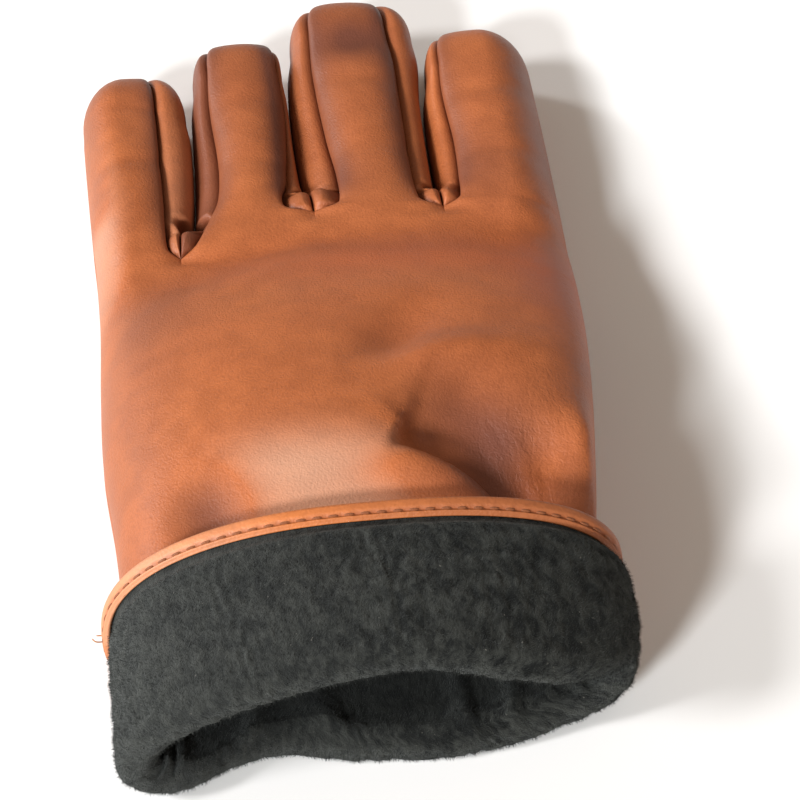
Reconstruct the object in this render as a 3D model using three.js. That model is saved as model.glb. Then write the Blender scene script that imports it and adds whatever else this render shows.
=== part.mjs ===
import * as THREE from "three";

// A fleece-lined leather glove for the left hand. It lies on its palm, with its cuff turned back.
// Millimetres: X runs across the hand to the forefinger's side, Y to the fingertips, Z up.
// Every piece is a sheet with a front and a back. Its places come from the tables of sections below.

const leather = 1.4;       // the shell's thickness
const bandLeather = 0.8;   // the hem's thinner leather
const fleece = 2.1;        // the lining's thickness
const gap = 0.3;           // room between two layers
const seamRoom = 0.2;      // how far a panel stands off its seam
const middle = { x: -0.98, y: 24.83 };   // the glove's middle, in the tables' places

const table = (names, rows) => rows.map((row) => (
  Object.fromEntries(names.split(" ").map((name, column) => [name, row[column]]))));

// The hand across its width: where its two side seams are, its crown, and how square its shoulders are.
const handRows = table("y left right leftSeam rightSeam crown top leftPower rightPower under", [
  [-84, -46.2, 41.6, 12.0, 19.0, 4.0, 35.5, 1.6, 1.9, 3.0],
  [-66, -46.4, 41.8, 13.5, 20.0, 2.0, 36.5, 1.9, 2.2, 3.0],
  [-48, -46.6, 41.4, 16.0, 21.5, -1.0, 37.8, 2.4, 2.5, 5.0],
  [-30, -47.2, 43.4, 16.5, 23.0, -1.5, 38.8, 2.5, 2.6, 2.4],
  [-10, -48.6, 45.8, 15.0, 23.0, -1.5, 38.0, 2.5, 2.6, 0.8],
  [10, -48.4, 47.6, 13.5, 21.0, -0.5, 35.0, 2.5, 2.5, 0.6],
  [30, -47.8, 48.8, 12.0, 15.5, 0.5, 29.5, 2.5, 2.5, 0.4],
  [48, -47.8, 49.4, 10.5, 11.0, 0.8, 24.0, 2.5, 2.5, 0.2],
  [60, -48.2, 49.5, 10.0, 10.0, 0.8, 22.0, 2.5, 2.5, 0.1],
  [94, -48.9, 49.4, 9.5, 9.5, 0.8, 21.0, 2.5, 2.5, 0.0],
  [130, -49.0, 48.8, 9.0, 9.0, 0.8, 20.0, 2.5, 2.5, 0.0],
]);
const underPower = 3.4;

// Each finger's tip, and the height of its crown at both ends.
const fingers = table("name tipX tipY tipZ crown crownEnd", [
  ["little", -38.3, 111.5, 8.0, 22.3, 20.0],
  ["ring", -13.6, 120.2, 8.0, 23.0, 21.0],
  ["middle", 10.2, 132.8, 8.5, 23.5, 22.0],
  ["index", 37.8, 119.6, 8.0, 23.0, 21.0],
]);
const outerStart = { left: 43, right: 51 };   // where the outer fingers begin at the hand's sides
const fingerPower = 2.3;
const nose = { length: 14, narrow: 0.72, lower: 0.85, forward: 0.85 };   // the rounded end of a finger

// The clefts between the fingers: the two seams of the fourchettes, and the line where these meet.
const seamColumns = "y x top under";
const clefts = [
  {
    y: 45.5,
    left: table(seamColumns, [
      [45.5, -30.2, 19.5, 3.5], [53, -31.8, 19.2, 4], [62, -32.4, 18.6, 4.5], [100, -32.4, 18, 4.5]]),
    right: table(seamColumns, [
      [45.5, -30.2, 19.5, 3.5], [53, -25.2, 19, 4], [62, -22.2, 17.6, 4.5], [76, -21.2, 16.5, 4.5],
      [92, -22, 16, 4.5], [112, -21.5, 16, 4.5]]),
    line: table("y x", [[45.5, -30.2], [61, -27.4], [94, -25.7], [130, -25.4]]),
  },
  {
    y: 54.5,
    left: table(seamColumns, [
      [54.5, -2.4, 20, 3.5], [60, -5.2, 19.4, 4], [67, -6.6, 18, 4.5], [94, -5.3, 16, 4.5],
      [112, -6.2, 16, 4.5]]),
    right: table(seamColumns, [
      [54.5, -2.4, 20, 3.5], [60, 1.0, 19.4, 4], [67, 2.9, 18.4, 4.5], [82, 1.9, 17, 4.5],
      [104, 0.8, 16.5, 4.5], [126, 1.3, 16.5, 4.5]]),
    line: table("y x", [[54.5, -2.4], [65, -2.2], [104, -3.2], [140, -3.4]]),
  },
  {
    y: 54.0,
    left: table(seamColumns, [
      [54, 24.2, 20, 3.5], [59, 21.4, 19.4, 4], [66, 19.8, 18.6, 4.5], [85, 18.5, 18, 4.5],
      [102, 18.4, 18, 4.5], [126, 17, 17.5, 4.5]]),
    right: table(seamColumns, [
      [54, 24.2, 20, 3.5], [59, 26.8, 19.2, 4], [66, 28.2, 17.6, 4.5], [79, 28.8, 16.5, 4.5],
      [97, 28, 16, 4.5], [115, 28.3, 16, 4.5]]),
    line: table("y x", [[54, 24.2], [65, 24.1], [100, 24.7], [140, 25.2]]),
  },
];
const cleftRoom = 1.0;     // between two fourchettes past the cleft
const webLength = 9;       // in which a seam opens from its cleft

// The turned edge of the cuff, the hem on its end, and the lining's upper end, by share of the way round:
// 0 is the left seam, a quarter the crown, a half the right seam.
const rimRows = table("y mouth hem", [
  [0, -77, -50.5], [0.12, -77.5, -49], [0.25, -77, -47.5], [0.37, -79, -47.5], [0.5, -68, -48.5],
  [0.62, -67.5, -48], [0.7, -70.5, -48], [0.775, -67.5, -48], [0.88, -75.5, -48.5], [1, -77, -50.5],
]);

// Soft hollows and swellings of the back: an oval's place, half lengths, turn in degrees and height.
const dents = table("x y long wide turn height", [
  [20, -30, 15, 7.5, -40, -5.5],
  [25, -15, 12, 9, 20, -2.2],
  [39, -20, 9, 9, 0, 1.6],
  [34, -38, 9, 6, 0, -2.6],
  [7, 8, 15, 8, 60, -1.6],
  [16, -4, 17, 6, 12, 1.3],
  [-14, 42, 22, 5, 8, -0.9],
  [-30, -33, 10, 9, 0, -1.4],
]);

const thumb = {
  baseX: 29.5, tipX: 22, baseY: -33, tipY: 39, halfWidth: 14.6, tipWidth: 11, height: 13.6,
  round: 2.8, rows: 11,
};
const thumbSag = 0.3;      // pressed flat against what the glove lies on
const thumbHole = { left: 17.5, right: 33, start: -25, end: 2 };
const lift = { height: 13.8, left: -6, full: 11, start: -44, raised: -31, lowered: 38, end: 54 };

const cuff = { sheetUnder: 1.7, bandUnder: 0.6, bandOver: 4.1, bandWidth: 4.6, rollSteps: 4 };
const sleeveEnd = 10;      // the row of the hand where the lining stops

// Where the rows of the hand lie between the cuff's edge and the clefts, and the steps of the grids.
const handSteps = [0, 0.08, 0.15, 0.215, 0.265, 0.315, 0.37, 0.425, 0.48, 0.55, 0.64, 0.74, 0.83, 0.92, 1];
const bodySteps = [0, 0.12, 0.27, 0.45, 0.63, 0.82, 1];
const noseSteps = [0.3, 0.55, 0.78, 1];
const columns = { top: 5, under: 4, fourchette: 3, thumb: 14 };
// From a side seam.
const outerColumns = { top: [0, 0.1, 0.24, 0.46, 0.73, 1], under: [0, 0.08, 0.24, 0.5, 0.8, 1] };

const mix = (a, b, share) => a + (b - a) * share;
const within = (value, low, high) => Math.min(Math.max(value, low), high);

function ease(share) {
  const t = within(share, 0, 1);
  return t * t * (3 - 2 * t);
}

// A column of a table at any place, on a smooth curve through its rows.
function along(rows, name, y) {
  const last = rows.length - 1;
  const here = within(y, rows[0].y, rows[last].y);
  let i = 0;
  while (i < last - 1 && here > rows[i + 1].y) i += 1;
  const slope = (j) => {
    const before = rows[Math.max(j - 1, 0)];
    const after = rows[Math.min(j + 1, last)];
    return (after[name] - before[name]) / (after.y - before.y);
  };
  const span = rows[i + 1].y - rows[i].y;
  const t = (here - rows[i].y) / span;
  const from = rows[i][name] * (2 * t ** 3 - 3 * t ** 2 + 1) + slope(i) * span * (t ** 3 - 2 * t ** 2 + t);
  const to = rows[i + 1][name] * (3 * t ** 2 - 2 * t ** 3) + slope(i + 1) * span * (t ** 3 - t ** 2);
  return from + to;
}

// Half a superellipse: share 0 is its left end, 0.5 its crown and 1 its right end.
function arch(left, crown, right, share, leftPower, rightPower) {
  const turn = Math.PI * (1 - share);
  const onLeft = Math.cos(turn) < 0;
  const side = onLeft ? left : right;
  const power = 2 / (onLeft ? leftPower : rightPower);
  const reach = Math.abs(Math.cos(turn)) ** power;
  const rise = Math.abs(Math.sin(turn)) ** power;
  return { x: mix(crown.x, side.x, reach), z: mix(side.z, crown.z, rise) };
}

// The share at which a superellipse's crown side passes x.
function archShare(left, crown, right, x, leftPower, rightPower) {
  const side = x < crown ? left : right;
  const reach = within((x - crown) / (side - crown), 0, 1) ** ((x < crown ? leftPower : rightPower) / 2);
  const turn = Math.acos(reach) / Math.PI;
  return x < crown ? turn : 1 - turn;
}

function dentAt(x, y) {
  let height = 0;
  for (const dent of dents) {
    const turn = THREE.MathUtils.degToRad(dent.turn);
    const lengthwise = ((x - dent.x) * Math.cos(turn) + (y - dent.y) * Math.sin(turn)) / dent.long;
    const sideways = ((y - dent.y) * Math.cos(turn) - (x - dent.x) * Math.sin(turn)) / dent.wide;
    height += dent.height * Math.exp(-(lengthwise ** 2 + sideways ** 2));
  }
  return height;
}

// The dents fade out towards the side seams.
const dentFade = (share) => ease(Math.min(share, 1 - share) / 0.1);

// How far the palm is raised by the thumb that lies under it.
function liftAt(x, y) {
  const across = ease((x - lift.left) / (lift.full - lift.left));
  const up = ease((y - lift.start) / (lift.raised - lift.start));
  const down = 1 - ease((y - lift.lowered) / (lift.end - lift.lowered));
  return lift.height * across * up * down;
}

// A place on the hand's tube, inset from the shell's outer face.
function handPoint(side, share, y, inset) {
  const row = (name) => along(handRows, name, y);
  const left = { x: row("left") + inset, z: row("leftSeam") };
  const right = { x: row("right") - inset, z: row("rightSeam") };
  if (side === "top") {
    const crown = { x: row("crown"), z: row("top") - inset };
    const place = arch(left, crown, right, share, row("leftPower"), row("rightPower"));
    return { x: place.x, z: place.z + dentFade(share) * dentAt(place.x, y) };
  }
  const level = (height) => {
    const crown = { x: (left.x + right.x) / 2, z: height };
    return arch(left, crown, right, share, underPower, underPower);
  };
  const flat = row("under") + inset;
  return level(flat + liftAt(level(flat).x, y));
}

// The seam at one edge of a finger. At its cleft a sheet is inset downwards, and past it sideways.
function seamPoint(side, finger, edge, y, inset) {
  const inwards = edge === "left" ? inset : -inset;
  const outer = (finger === 0 && edge === "left") || (finger === fingers.length - 1 && edge === "right");
  if (outer) {
    return { x: along(handRows, edge, y) + inwards, z: along(handRows, `${edge}Seam`, y) };
  }
  const cleft = clefts[edge === "left" ? finger - 1 : finger];
  const rows = cleft[edge === "left" ? "right" : "left"];
  const open = ease((y - cleft.y) / webLength);
  const sunk = inset * (1 - open) * (side === "top" ? -1 : 1);
  return { x: along(rows, "x", y) + inwards * open, z: along(rows, side, y) + sunk };
}

const fingerStart = (finger) => fingers[finger].tipY - nose.length;

// Draws a place in towards the tip of its finger, turn being a quarter turn at the tip itself.
function roundOff(finger, place, y, turn, inset) {
  const tip = fingers[finger];
  const shrink = Math.max(Math.cos(turn), 0);
  return {
    x: mix(tip.tipX, place.x, shrink ** nose.narrow),
    y: y + (nose.length - inset) * Math.sin(turn) ** nose.forward,
    z: mix(tip.tipZ, place.z, shrink ** nose.lower),
  };
}

function fingerPoint(side, finger, share, y, turn, inset) {
  const left = seamPoint(side, finger, "left", y, inset);
  const right = seamPoint(side, finger, "right", y, inset);
  const x = (left.x + right.x) / 2;
  const { crown, crownEnd } = fingers[finger];
  const length = ease((y - clefts[1].y) / (fingerStart(finger) - clefts[1].y));
  const z = side === "top" ? mix(crown, crownEnd, length) - inset : inset + liftAt(x, y);
  const power = side === "top" ? fingerPower : underPower;
  return roundOff(finger, arch(left, { x, z }, right, share, power, power), y, turn, inset);
}

// Where the fingers begin, on a line from cleft to cleft.
function fingersEdge(finger, share) {
  const left = finger === 0 ? outerStart.left : clefts[finger - 1].y;
  const right = finger === clefts.length ? outerStart.right : clefts[finger].y;
  return mix(left, right, share);
}

// The share of the hand's width from which a column of a finger runs on.
function acrossHand(side, finger, share) {
  const y = fingersEdge(finger, share);
  const { x } = fingerPoint(side, finger, share, y, 0, 0);
  const row = (name) => along(handRows, name, y);
  const crown = side === "top" ? row("crown") : (row("left") + row("right")) / 2;
  const powers = side === "top" ? [row("leftPower"), row("rightPower")] : [underPower, underPower];
  return archShare(row("left"), crown, row("right"), x, ...powers);
}

// How far round the hand a column lies: over it from the left seam to the right, and back under it.
function aroundHand(side, finger, share) {
  const half = acrossHand(side, finger, share) / 2;
  return side === "top" ? half : 1 - half;
}

// A place on the shell. Steps 0 to 1 run up the hand, 1 to 2 along a finger and 2 to 3 round its tip.
function shellPoint(side, finger, share, step, inset) {
  const edge = fingersEdge(finger, share);
  if (step > 1) {
    const y = mix(edge, fingerStart(finger), Math.min(step - 1, 1));
    const turn = (Math.PI / 2) * Math.max(step - 2, 0);
    return fingerPoint(side, finger, share, y, turn, inset);
  }
  const y = mix(along(rimRows, "mouth", aroundHand(side, finger, share)), edge, step);
  const hand = handPoint(side, acrossHand(side, finger, share), y, inset);
  const digit = fingerPoint(side, finger, share, Math.min(y, edge), 0, inset);
  const blend = ease((y - edge + 24) / 24);
  return { x: mix(hand.x, digit.x, blend), y, z: mix(hand.z, digit.z, blend) };
}

// Joins cells into one closed sheet: its front, its back, and a rim wherever a cell has no neighbour.
function makeSheet(name, material, cells) {
  const fronts = [];
  const backs = [];
  const numbers = new Map();
  const faces = [];
  const numberOf = ({ front, back }) => {
    const key = [front.x, front.y, front.z].map((value) => value.toFixed(3)).join(" ");
    if (!numbers.has(key)) {
      numbers.set(key, fronts.length);
      fronts.push(front);
      backs.push(back);
    }
    return numbers.get(key);
  };
  for (const cell of cells) {
    // every layer splits its cells along the same diagonal
    const sums = cell.map(({ front }) => front.x + front.y);
    const first = sums.indexOf(Math.min(...sums));
    const [a, b, c, d] = [0, 1, 2, 3].map((corner) => numberOf(cell[(first + corner) % 4]));
    for (const face of [[a, b, c], [a, c, d]]) {
      if (new Set(face).size === 3) faces.push(face);
    }
  }
  const edges = new Map();
  for (const [a, b, c] of faces) {
    for (const [from, to] of [[a, b], [b, c], [c, a]]) edges.set(`${from} ${to}`, [from, to]);
  }
  const count = fronts.length;
  const all = [];
  for (const [a, b, c] of faces) all.push([a, b, c], [c + count, b + count, a + count]);
  for (const [from, to] of edges.values()) {
    if (edges.has(`${to} ${from}`)) continue;
    all.push([to, from, from + count], [to, from + count, to + count]);
  }
  const places = [...fronts, ...backs].map(({ x, y, z }) => (
    new THREE.Vector3(x - middle.x, y - middle.y, Math.max(z, 0))));
  const normal = new THREE.Vector3();
  let volume = 0;
  for (const [a, b, c] of all) volume += places[a].dot(normal.crossVectors(places[b], places[c]));
  const outwards = volume > 0 ? all : all.map(([a, b, c]) => [c, b, a]);
  const geometry = new THREE.BufferGeometry().setFromPoints(places);
  geometry.setIndex(outwards.flat());
  geometry.computeVertexNormals();
  const mesh = new THREE.Mesh(geometry, material);
  mesh.name = name;
  return mesh;
}

// The cells between rows and columns of pairs, closed round its columns where it wraps.
function gridCells(rows, wrap = false) {
  const cells = [];
  for (let i = 0; i + 1 < rows.length; i += 1) {
    const width = rows[i].length;
    for (let j = 0; j < (wrap ? width : width - 1); j += 1) {
      const next = (j + 1) % width;
      cells.push([rows[i][j], rows[i][next], rows[i + 1][next], rows[i + 1][j]]);
    }
  }
  return cells;
}

function centreOf(cell) {
  const sum = cell.reduce((total, { front }) => total.add(new THREE.Vector3(front.x, front.y, front.z)),
    new THREE.Vector3());
  return sum.divideScalar(cell.length);
}

function overThumbHole(cell) {
  const { x, y } = centreOf(cell);
  const { left, right, start, end } = thumbHole;
  return x > left && x < right && y > start && y < end;
}

const raised = (place, by) => ({ x: place.x, y: place.y, z: place.z + by });
const shares = (count) => Array.from({ length: count + 1 }, (_, i) => i / count);

// The columns across a finger, closer together where the hand bends round to its side seam.
function columnsOf(side, finger) {
  if (finger === 0) return outerColumns[side];
  if (finger === fingers.length - 1) return outerColumns[side].map((share) => 1 - share).reverse();
  return shares(columns[side]);
}

// The back or the palm: one grid over the hand and each of its fingers.
function panelCells(side) {
  const off = side === "top" ? seamRoom : -seamRoom;
  const steps = [
    ...handSteps,
    ...bodySteps.slice(1).map((step) => 1 + step),
    ...noseSteps.map((step) => 2 + step),
  ];
  return fingers.flatMap((_, finger) => gridCells(steps.map((step) => (
    columnsOf(side, finger).map((share) => {
      const back = raised(shellPoint(side, finger, share, step, leather), off);
      return {
        front: raised(shellPoint(side, finger, share, step, 0), off),
        back: { ...back, z: Math.max(back.z, leather) },
      };
    })))));
}

// The strip between a finger's two seams. It bulges from them to the cleft's line.
function fourchettePoint(cleft, edge, finger, down, step, inset) {
  const y = mix(cleft.y, fingerStart(finger), Math.min(step, 1));
  const turn = (Math.PI / 2) * Math.max(step - 1, 0);
  const inwards = edge === "left" ? -1 : 1;
  const open = ease((y - cleft.y) / webLength);
  const rows = cleft[edge];
  const seam = along(rows, "x", y);
  const reach = along(cleft.line, "x", y) + inwards * (cleftRoom / 2) * open;
  const tucked = (leather + gap) * (1 - open);
  const place = {
    x: mix(seam, reach, Math.sin(Math.PI * down) ** 0.6) + inwards * inset,
    z: mix(along(rows, "top", y) - tucked, along(rows, "under", y) + tucked, down),
  };
  const rounded = roundOff(finger, place, y, turn, inset);
  return { ...rounded, x: rounded.x + inwards * seamRoom * mix(-1, 1, Math.max(Math.cos(turn), 0)) };
}

function fourchetteCells(cleft, edge, finger) {
  const steps = [...bodySteps, ...noseSteps.map((step) => 1 + step)];
  return gridCells(steps.map((step) => shares(columns.fourchette).map((down) => ({
    front: fourchettePoint(cleft, edge, finger, down, step, 0),
    back: fourchettePoint(cleft, edge, finger, down, step, leather),
  }))));
}

// The columns all the way round the hand: over it from left to right, then back under it.
function roundTheHand() {
  const over = fingers.flatMap((_, finger) => (
    columnsOf("top", finger).slice(0, -1).map((share) => ({ side: "top", finger, share }))));
  const under = fingers.flatMap((_, finger) => (
    columnsOf("under", finger).slice(1).map((share) => ({ side: "under", finger, share }))));
  return [...over, ...under.reverse()];
}

const rimAt = ({ side, finger, share }, name) => along(rimRows, name, aroundHand(side, finger, share));

// A place of the turned-back cuff, over the shell by height, at any y. It bridges the back's hollows.
function cuffPoint({ side, finger, share }, y, height) {
  const across = acrossHand(side, finger, share);
  const place = handPoint(side, across, y, -height);
  const bridged = side === "top" ? dentFade(across) * dentAt(place.x, y) : 0;
  return { x: place.x, y, z: place.z - bridged };
}

// The fleece: a sleeve inside the hand, rolled over the shell's edge and laid back over its outside.
function liningCells() {
  const inner = -leather - gap;
  const roll = { middle: (inner + cuff.sheetUnder) / 2, radius: (cuff.sheetUnder - inner) / 2 };
  const round = roundTheHand();
  const sleeve = handSteps.slice(0, sleeveEnd + 1).reverse().map((step) => round.map((column) => ({
    front: shellPoint(column.side, column.finger, column.share, step, -inner + fleece),
    back: shellPoint(column.side, column.finger, column.share, step, -inner),
  })));
  const rolled = shares(cuff.rollSteps).slice(1).map((share) => round.map((column) => {
    const mouth = rimAt(column, "mouth");
    const at = (radius) => cuffPoint(
      column, mouth - radius * Math.sin(Math.PI * share), roll.middle - radius * Math.cos(Math.PI * share));
    return { front: at(roll.radius + fleece), back: at(roll.radius) };
  }));
  const flap = [0.3, 0.65, 1].map((share) => round.map((column) => {
    const y = mix(rimAt(column, "mouth"), rimAt(column, "hem"), share);
    return {
      front: cuffPoint(column, y, cuff.sheetUnder + fleece),
      back: cuffPoint(column, y, cuff.sheetUnder),
    };
  }));
  return gridCells([...sleeve, ...rolled, ...flap], true);
}

// The hem: a leather strip folded over the end of the fleece.
function hemCells() {
  const round = roundTheHand();
  const section = table("y front back", [
    [-cuff.bandWidth, cuff.bandUnder, cuff.bandUnder + bandLeather],
    [gap, cuff.bandUnder, cuff.bandUnder + bandLeather],
    [gap + bandLeather, cuff.bandUnder + bandLeather, cuff.bandUnder + 2 * bandLeather],
    [gap + bandLeather, cuff.bandOver - 0.4, cuff.bandOver - bandLeather],
    [gap, cuff.bandOver + bandLeather, cuff.bandOver],
    [-cuff.bandWidth, cuff.bandOver + bandLeather, cuff.bandOver],
  ]);
  return gridCells(section.map((row, number) => round.map((column) => {
    const hem = rimAt(column, "hem");
    const inside = number > 0 && number < section.length - 1 ? gap : row.y;
    return {
      front: cuffPoint(column, hem + row.y, row.front),
      back: cuffPoint(column, hem + inside, row.back),
    };
  })), true);
}

// The thumb: a flattened pouch under the palm, open at the top of its base.
function thumbCells() {
  const rounded = (value) => Math.sign(value) * Math.abs(value) ** (2 / thumb.round);
  const pointAt = (around, share, inset) => {
    const turn = around * 2 * Math.PI;
    const lengthwise = rounded(-Math.cos(share * Math.PI));
    const plump = rounded(Math.sin(share * Math.PI));
    const width = mix(thumb.halfWidth, thumb.tipWidth, share) - inset;
    const height = thumb.height / 2 - inset;
    return {
      x: mix(thumb.baseX, thumb.tipX, share) + width * plump * rounded(Math.cos(turn)),
      y: (thumb.tipY + thumb.baseY) / 2 + ((thumb.tipY - thumb.baseY) / 2 - inset) * lengthwise,
      z: thumb.height / 2 - thumbSag + height * plump * rounded(Math.sin(turn)),
    };
  };
  const rows = shares(thumb.rows).map((share) => (
    Array.from({ length: columns.thumb }, (_, i) => ({
      front: pointAt(i / columns.thumb, share, 0),
      back: pointAt(i / columns.thumb, share, leather),
    }))));
  return gridCells(rows, true).filter((cell) => (
    !(overThumbHole(cell) && centreOf(cell).z > thumb.height * 0.8)));
}

const tan = new THREE.MeshStandardMaterial({ color: 0xb8693b, roughness: 0.45 });
const strap = new THREE.MeshStandardMaterial({ color: 0xc57038, roughness: 0.5 });
const charcoal = new THREE.MeshStandardMaterial({ color: 0x383a37, roughness: 0.95 });

const glove = new THREE.Group();
glove.add(makeSheet("back_panel", tan, panelCells("top")));
glove.add(makeSheet("palm_panel", tan, panelCells("under").filter((cell) => !overThumbHole(cell))));
glove.add(makeSheet("thumb", tan, thumbCells()));
clefts.forEach((cleft, i) => {
  const [before, after] = [fingers[i], fingers[i + 1]];
  glove.add(makeSheet(`fourchette_${before.name}_inner`, tan, fourchetteCells(cleft, "left", i)));
  glove.add(makeSheet(`fourchette_${after.name}_outer`, tan, fourchetteCells(cleft, "right", i + 1)));
});
glove.add(makeSheet("fleece_lining", charcoal, liningCells().filter((cell) => (
  !(overThumbHole(cell) && centreOf(cell).z < 24)))));
glove.add(makeSheet("hem_band", strap, hemCells()));

export default glove;
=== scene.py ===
import math

import bmesh
import bpy
import numpy as np
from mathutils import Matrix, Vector


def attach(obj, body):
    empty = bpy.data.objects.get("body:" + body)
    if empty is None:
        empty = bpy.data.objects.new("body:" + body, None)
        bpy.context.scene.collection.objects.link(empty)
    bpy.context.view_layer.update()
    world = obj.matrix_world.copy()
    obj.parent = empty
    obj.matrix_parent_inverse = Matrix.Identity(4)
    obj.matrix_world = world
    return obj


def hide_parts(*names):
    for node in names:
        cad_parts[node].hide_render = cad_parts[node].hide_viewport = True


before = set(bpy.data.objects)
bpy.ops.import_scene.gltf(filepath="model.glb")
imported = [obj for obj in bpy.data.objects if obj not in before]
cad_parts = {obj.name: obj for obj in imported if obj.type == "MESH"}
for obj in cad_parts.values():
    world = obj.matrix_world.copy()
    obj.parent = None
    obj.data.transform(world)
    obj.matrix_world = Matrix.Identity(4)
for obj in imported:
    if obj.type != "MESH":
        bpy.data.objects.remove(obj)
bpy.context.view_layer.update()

mm = 0.001
middle = {"x": -0.98, "y": 24.83}   # the glove's middle, in the tables' places


def table(names, rows):
    columns = zip(*rows)
    return {name: np.array(column, float) for name, column in zip(names.split(), columns)}


# Sections in millimetres, close to the CAD part's: the hand across its width ...
handRows = table("y left right leftSeam rightSeam crown top leftPower rightPower under", [
    (-84, -46.2, 41.6, 12.0, 19.0, 4.0, 35.5, 1.6, 1.9, 3.0),
    (-66, -46.4, 41.8, 13.5, 20.0, 2.0, 36.5, 1.9, 2.2, 3.0),
    (-48, -46.6, 41.4, 16.0, 21.5, -1.0, 37.8, 2.4, 2.5, 5.0),
    (-30, -47.2, 43.4, 16.5, 23.0, -1.5, 38.8, 2.5, 2.6, 2.4),
    (-10, -48.6, 45.8, 15.0, 23.0, -1.5, 38.0, 2.5, 2.6, 0.8),
    (10, -48.4, 47.6, 13.5, 21.0, -0.5, 35.0, 2.5, 2.5, 0.6),
    (30, -47.8, 48.8, 12.0, 15.5, 0.5, 29.5, 2.5, 2.5, 0.4),
    (48, -47.8, 49.4, 10.5, 11.0, 0.8, 24.0, 2.5, 2.5, 0.2),
    (60, -48.2, 49.5, 10.0, 10.0, 0.8, 22.0, 2.5, 2.5, 0.1),
    (94, -48.9, 49.4, 9.5, 9.5, 0.8, 21.0, 2.5, 2.5, 0.0),
    (130, -49.0, 48.8, 9.0, 9.0, 0.8, 20.0, 2.5, 2.5, 0.0),
])
underPower = 3.4

# ... the fingers, and the clefts between them: two seams, and the line where the fourchettes meet
fingers = table("tipX tipY tipZ crown crownEnd nose narrow forward", [
    (-36.4, 111.9, 8.0, 22.3, 19.5, 16, 0.86, 0.92),
    (-13.6, 118.1, 8.0, 23.0, 21.0, 13, 0.54, 0.76),
    (10.2, 130.0, 8.5, 23.5, 22.0, 14, 0.74, 0.84),
    (36.8, 118.6, 8.0, 23.0, 21.0, 15, 0.66, 0.84),
])
fingerNames = ["little", "ring", "middle", "index"]
outerStart = {"left": 43, "right": 51}
fingerPower = {"left": 2.1, "right": 1.8}
noseLower = 0.85

seamColumns = "y x top under"
clefts = [
    {
        "y": 44.2, "x": -30.4, "filled": 1.2,
        "left": table(seamColumns, [
            (44.2, -30.4, 21.3, 3.5), (46.6, -31.9, 21.1, 3.7), (53, -32.4, 20.4, 4),
            (62, -32.4, 18.8, 4.5), (100, -32.4, 18, 4.5)]),
        "right": table(seamColumns, [
            (44.2, -30.4, 21.3, 3.5), (47.2, -28.0, 21.2, 3.7), (53, -25.4, 20.4, 4),
            (62, -22.2, 18.2, 4.5), (76, -21.2, 16.5, 4.5), (94, -22, 16.8, 4.5), (108, -21.8, 19.5, 4.5)]),
        "line": table("y x", [(44.2, -30.4), (53, -29.8), (61, -27.0), (94, -25.7), (130, -25.4)]),
    },
    {
        "y": 54.5, "x": -2.4, "filled": 0.6,
        "left": table(seamColumns, [
            (54.5, -2.4, 22.4, 3.5), (54.9, -5.0, 22.2, 3.6), (56.4, -7.3, 21.8, 3.8),
            (61, -7.9, 20.4, 4.2), (67, -6.8, 18.4, 4.5), (92, -5.3, 16.2, 4.5), (108, -6.0, 19.0, 4.5)]),
        "right": table(seamColumns, [
            (54.5, -2.4, 22.4, 3.5), (54.9, 0.0, 22.2, 3.6), (56.8, 2.2, 21.6, 3.9), (67, 2.9, 18.8, 4.5),
            (82, 1.9, 17, 4.5), (104, 0.8, 17.5, 4.5), (120, 1.1, 20.0, 4.5)]),
        "line": table("y x", [(54.5, -2.4), (62, -2.8), (72, -4.0), (100, -4.4), (114, -3.6), (140, -3.4)]),
    },
    {
        "y": 54.0, "x": 24.2, "filled": 1.2,
        "left": table(seamColumns, [
            (54, 24.2, 21.8, 3.5), (54.8, 21.8, 21.5, 3.6), (57, 20.2, 20.9, 3.9), (66, 19.4, 19, 4.5),
            (85, 19.4, 18, 4.5), (104, 19.5, 18.4, 4.5), (120, 18.6, 20.0, 4.5)]),
        "right": table(seamColumns, [
            (54, 24.2, 21.8, 3.5), (55.3, 26.2, 21.4, 3.6), (57.4, 27.4, 20.8, 3.9), (66, 28.3, 18, 4.5),
            (79, 28.8, 16.5, 4.5), (95, 28, 17, 4.5), (108, 28.3, 19.5, 4.5)]),
        "line": table("y x", [(54, 24.2), (65, 23.9), (95, 24.2), (112, 25.4), (140, 25.6)]),
    },
]

# the cuff's turned edge and its hem, by share of the way round from the left seam over the crown
rimRows = table("y mouth hem", [
    (0, -76.4, -50.0), (0.12, -77.3, -48.4), (0.25, -77, -47.0), (0.37, -79, -47.0), (0.5, -68, -48),
    (0.62, -66.6, -48), (0.7, -69.2, -48), (0.74, -70.4, -48), (0.782, -66.8, -48), (0.87, -74.8, -48.5),
    (1, -76.4, -50.0),
])
layers = {"leather": 1.4, "fleece": 2.1, "gap": 0.3}
cleftShape = {"web": 6, "valley": 5, "level": 4, "runOut": 22, "dimple": 0.8, "dimpleWide": 2.6,
              "dimpleFloor": 11, "dimpleRise": 4}
lift = {"height": 13.8, "left": -6, "full": 11, "start": -44, "raised": -31, "lowered": 30, "end": 51,
        "beside": {"x": 37, "wide": 11, "y": 12, "long": 14, "share": 0.55}}
thumbHole = {"left": 20, "right": 33, "start": -21, "end": 2}


# camera, floor and lights

def newObject(name, data):
    made = bpy.data.objects.new(name, data)
    bpy.context.scene.collection.objects.link(made)
    return made


def aim(made, target):
    made.rotation_mode = "QUATERNION"
    made.rotation_quaternion = (Vector(target) - made.location).to_track_quat("-Z", "Y")


def newMaterial(name, values):
    made = bpy.data.materials.new(name)
    made.use_nodes = True
    surface = made.node_tree.nodes["Principled BSDF"]
    for key, value in values.items():
        surface.inputs[key].default_value = value
    return made, surface


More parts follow.
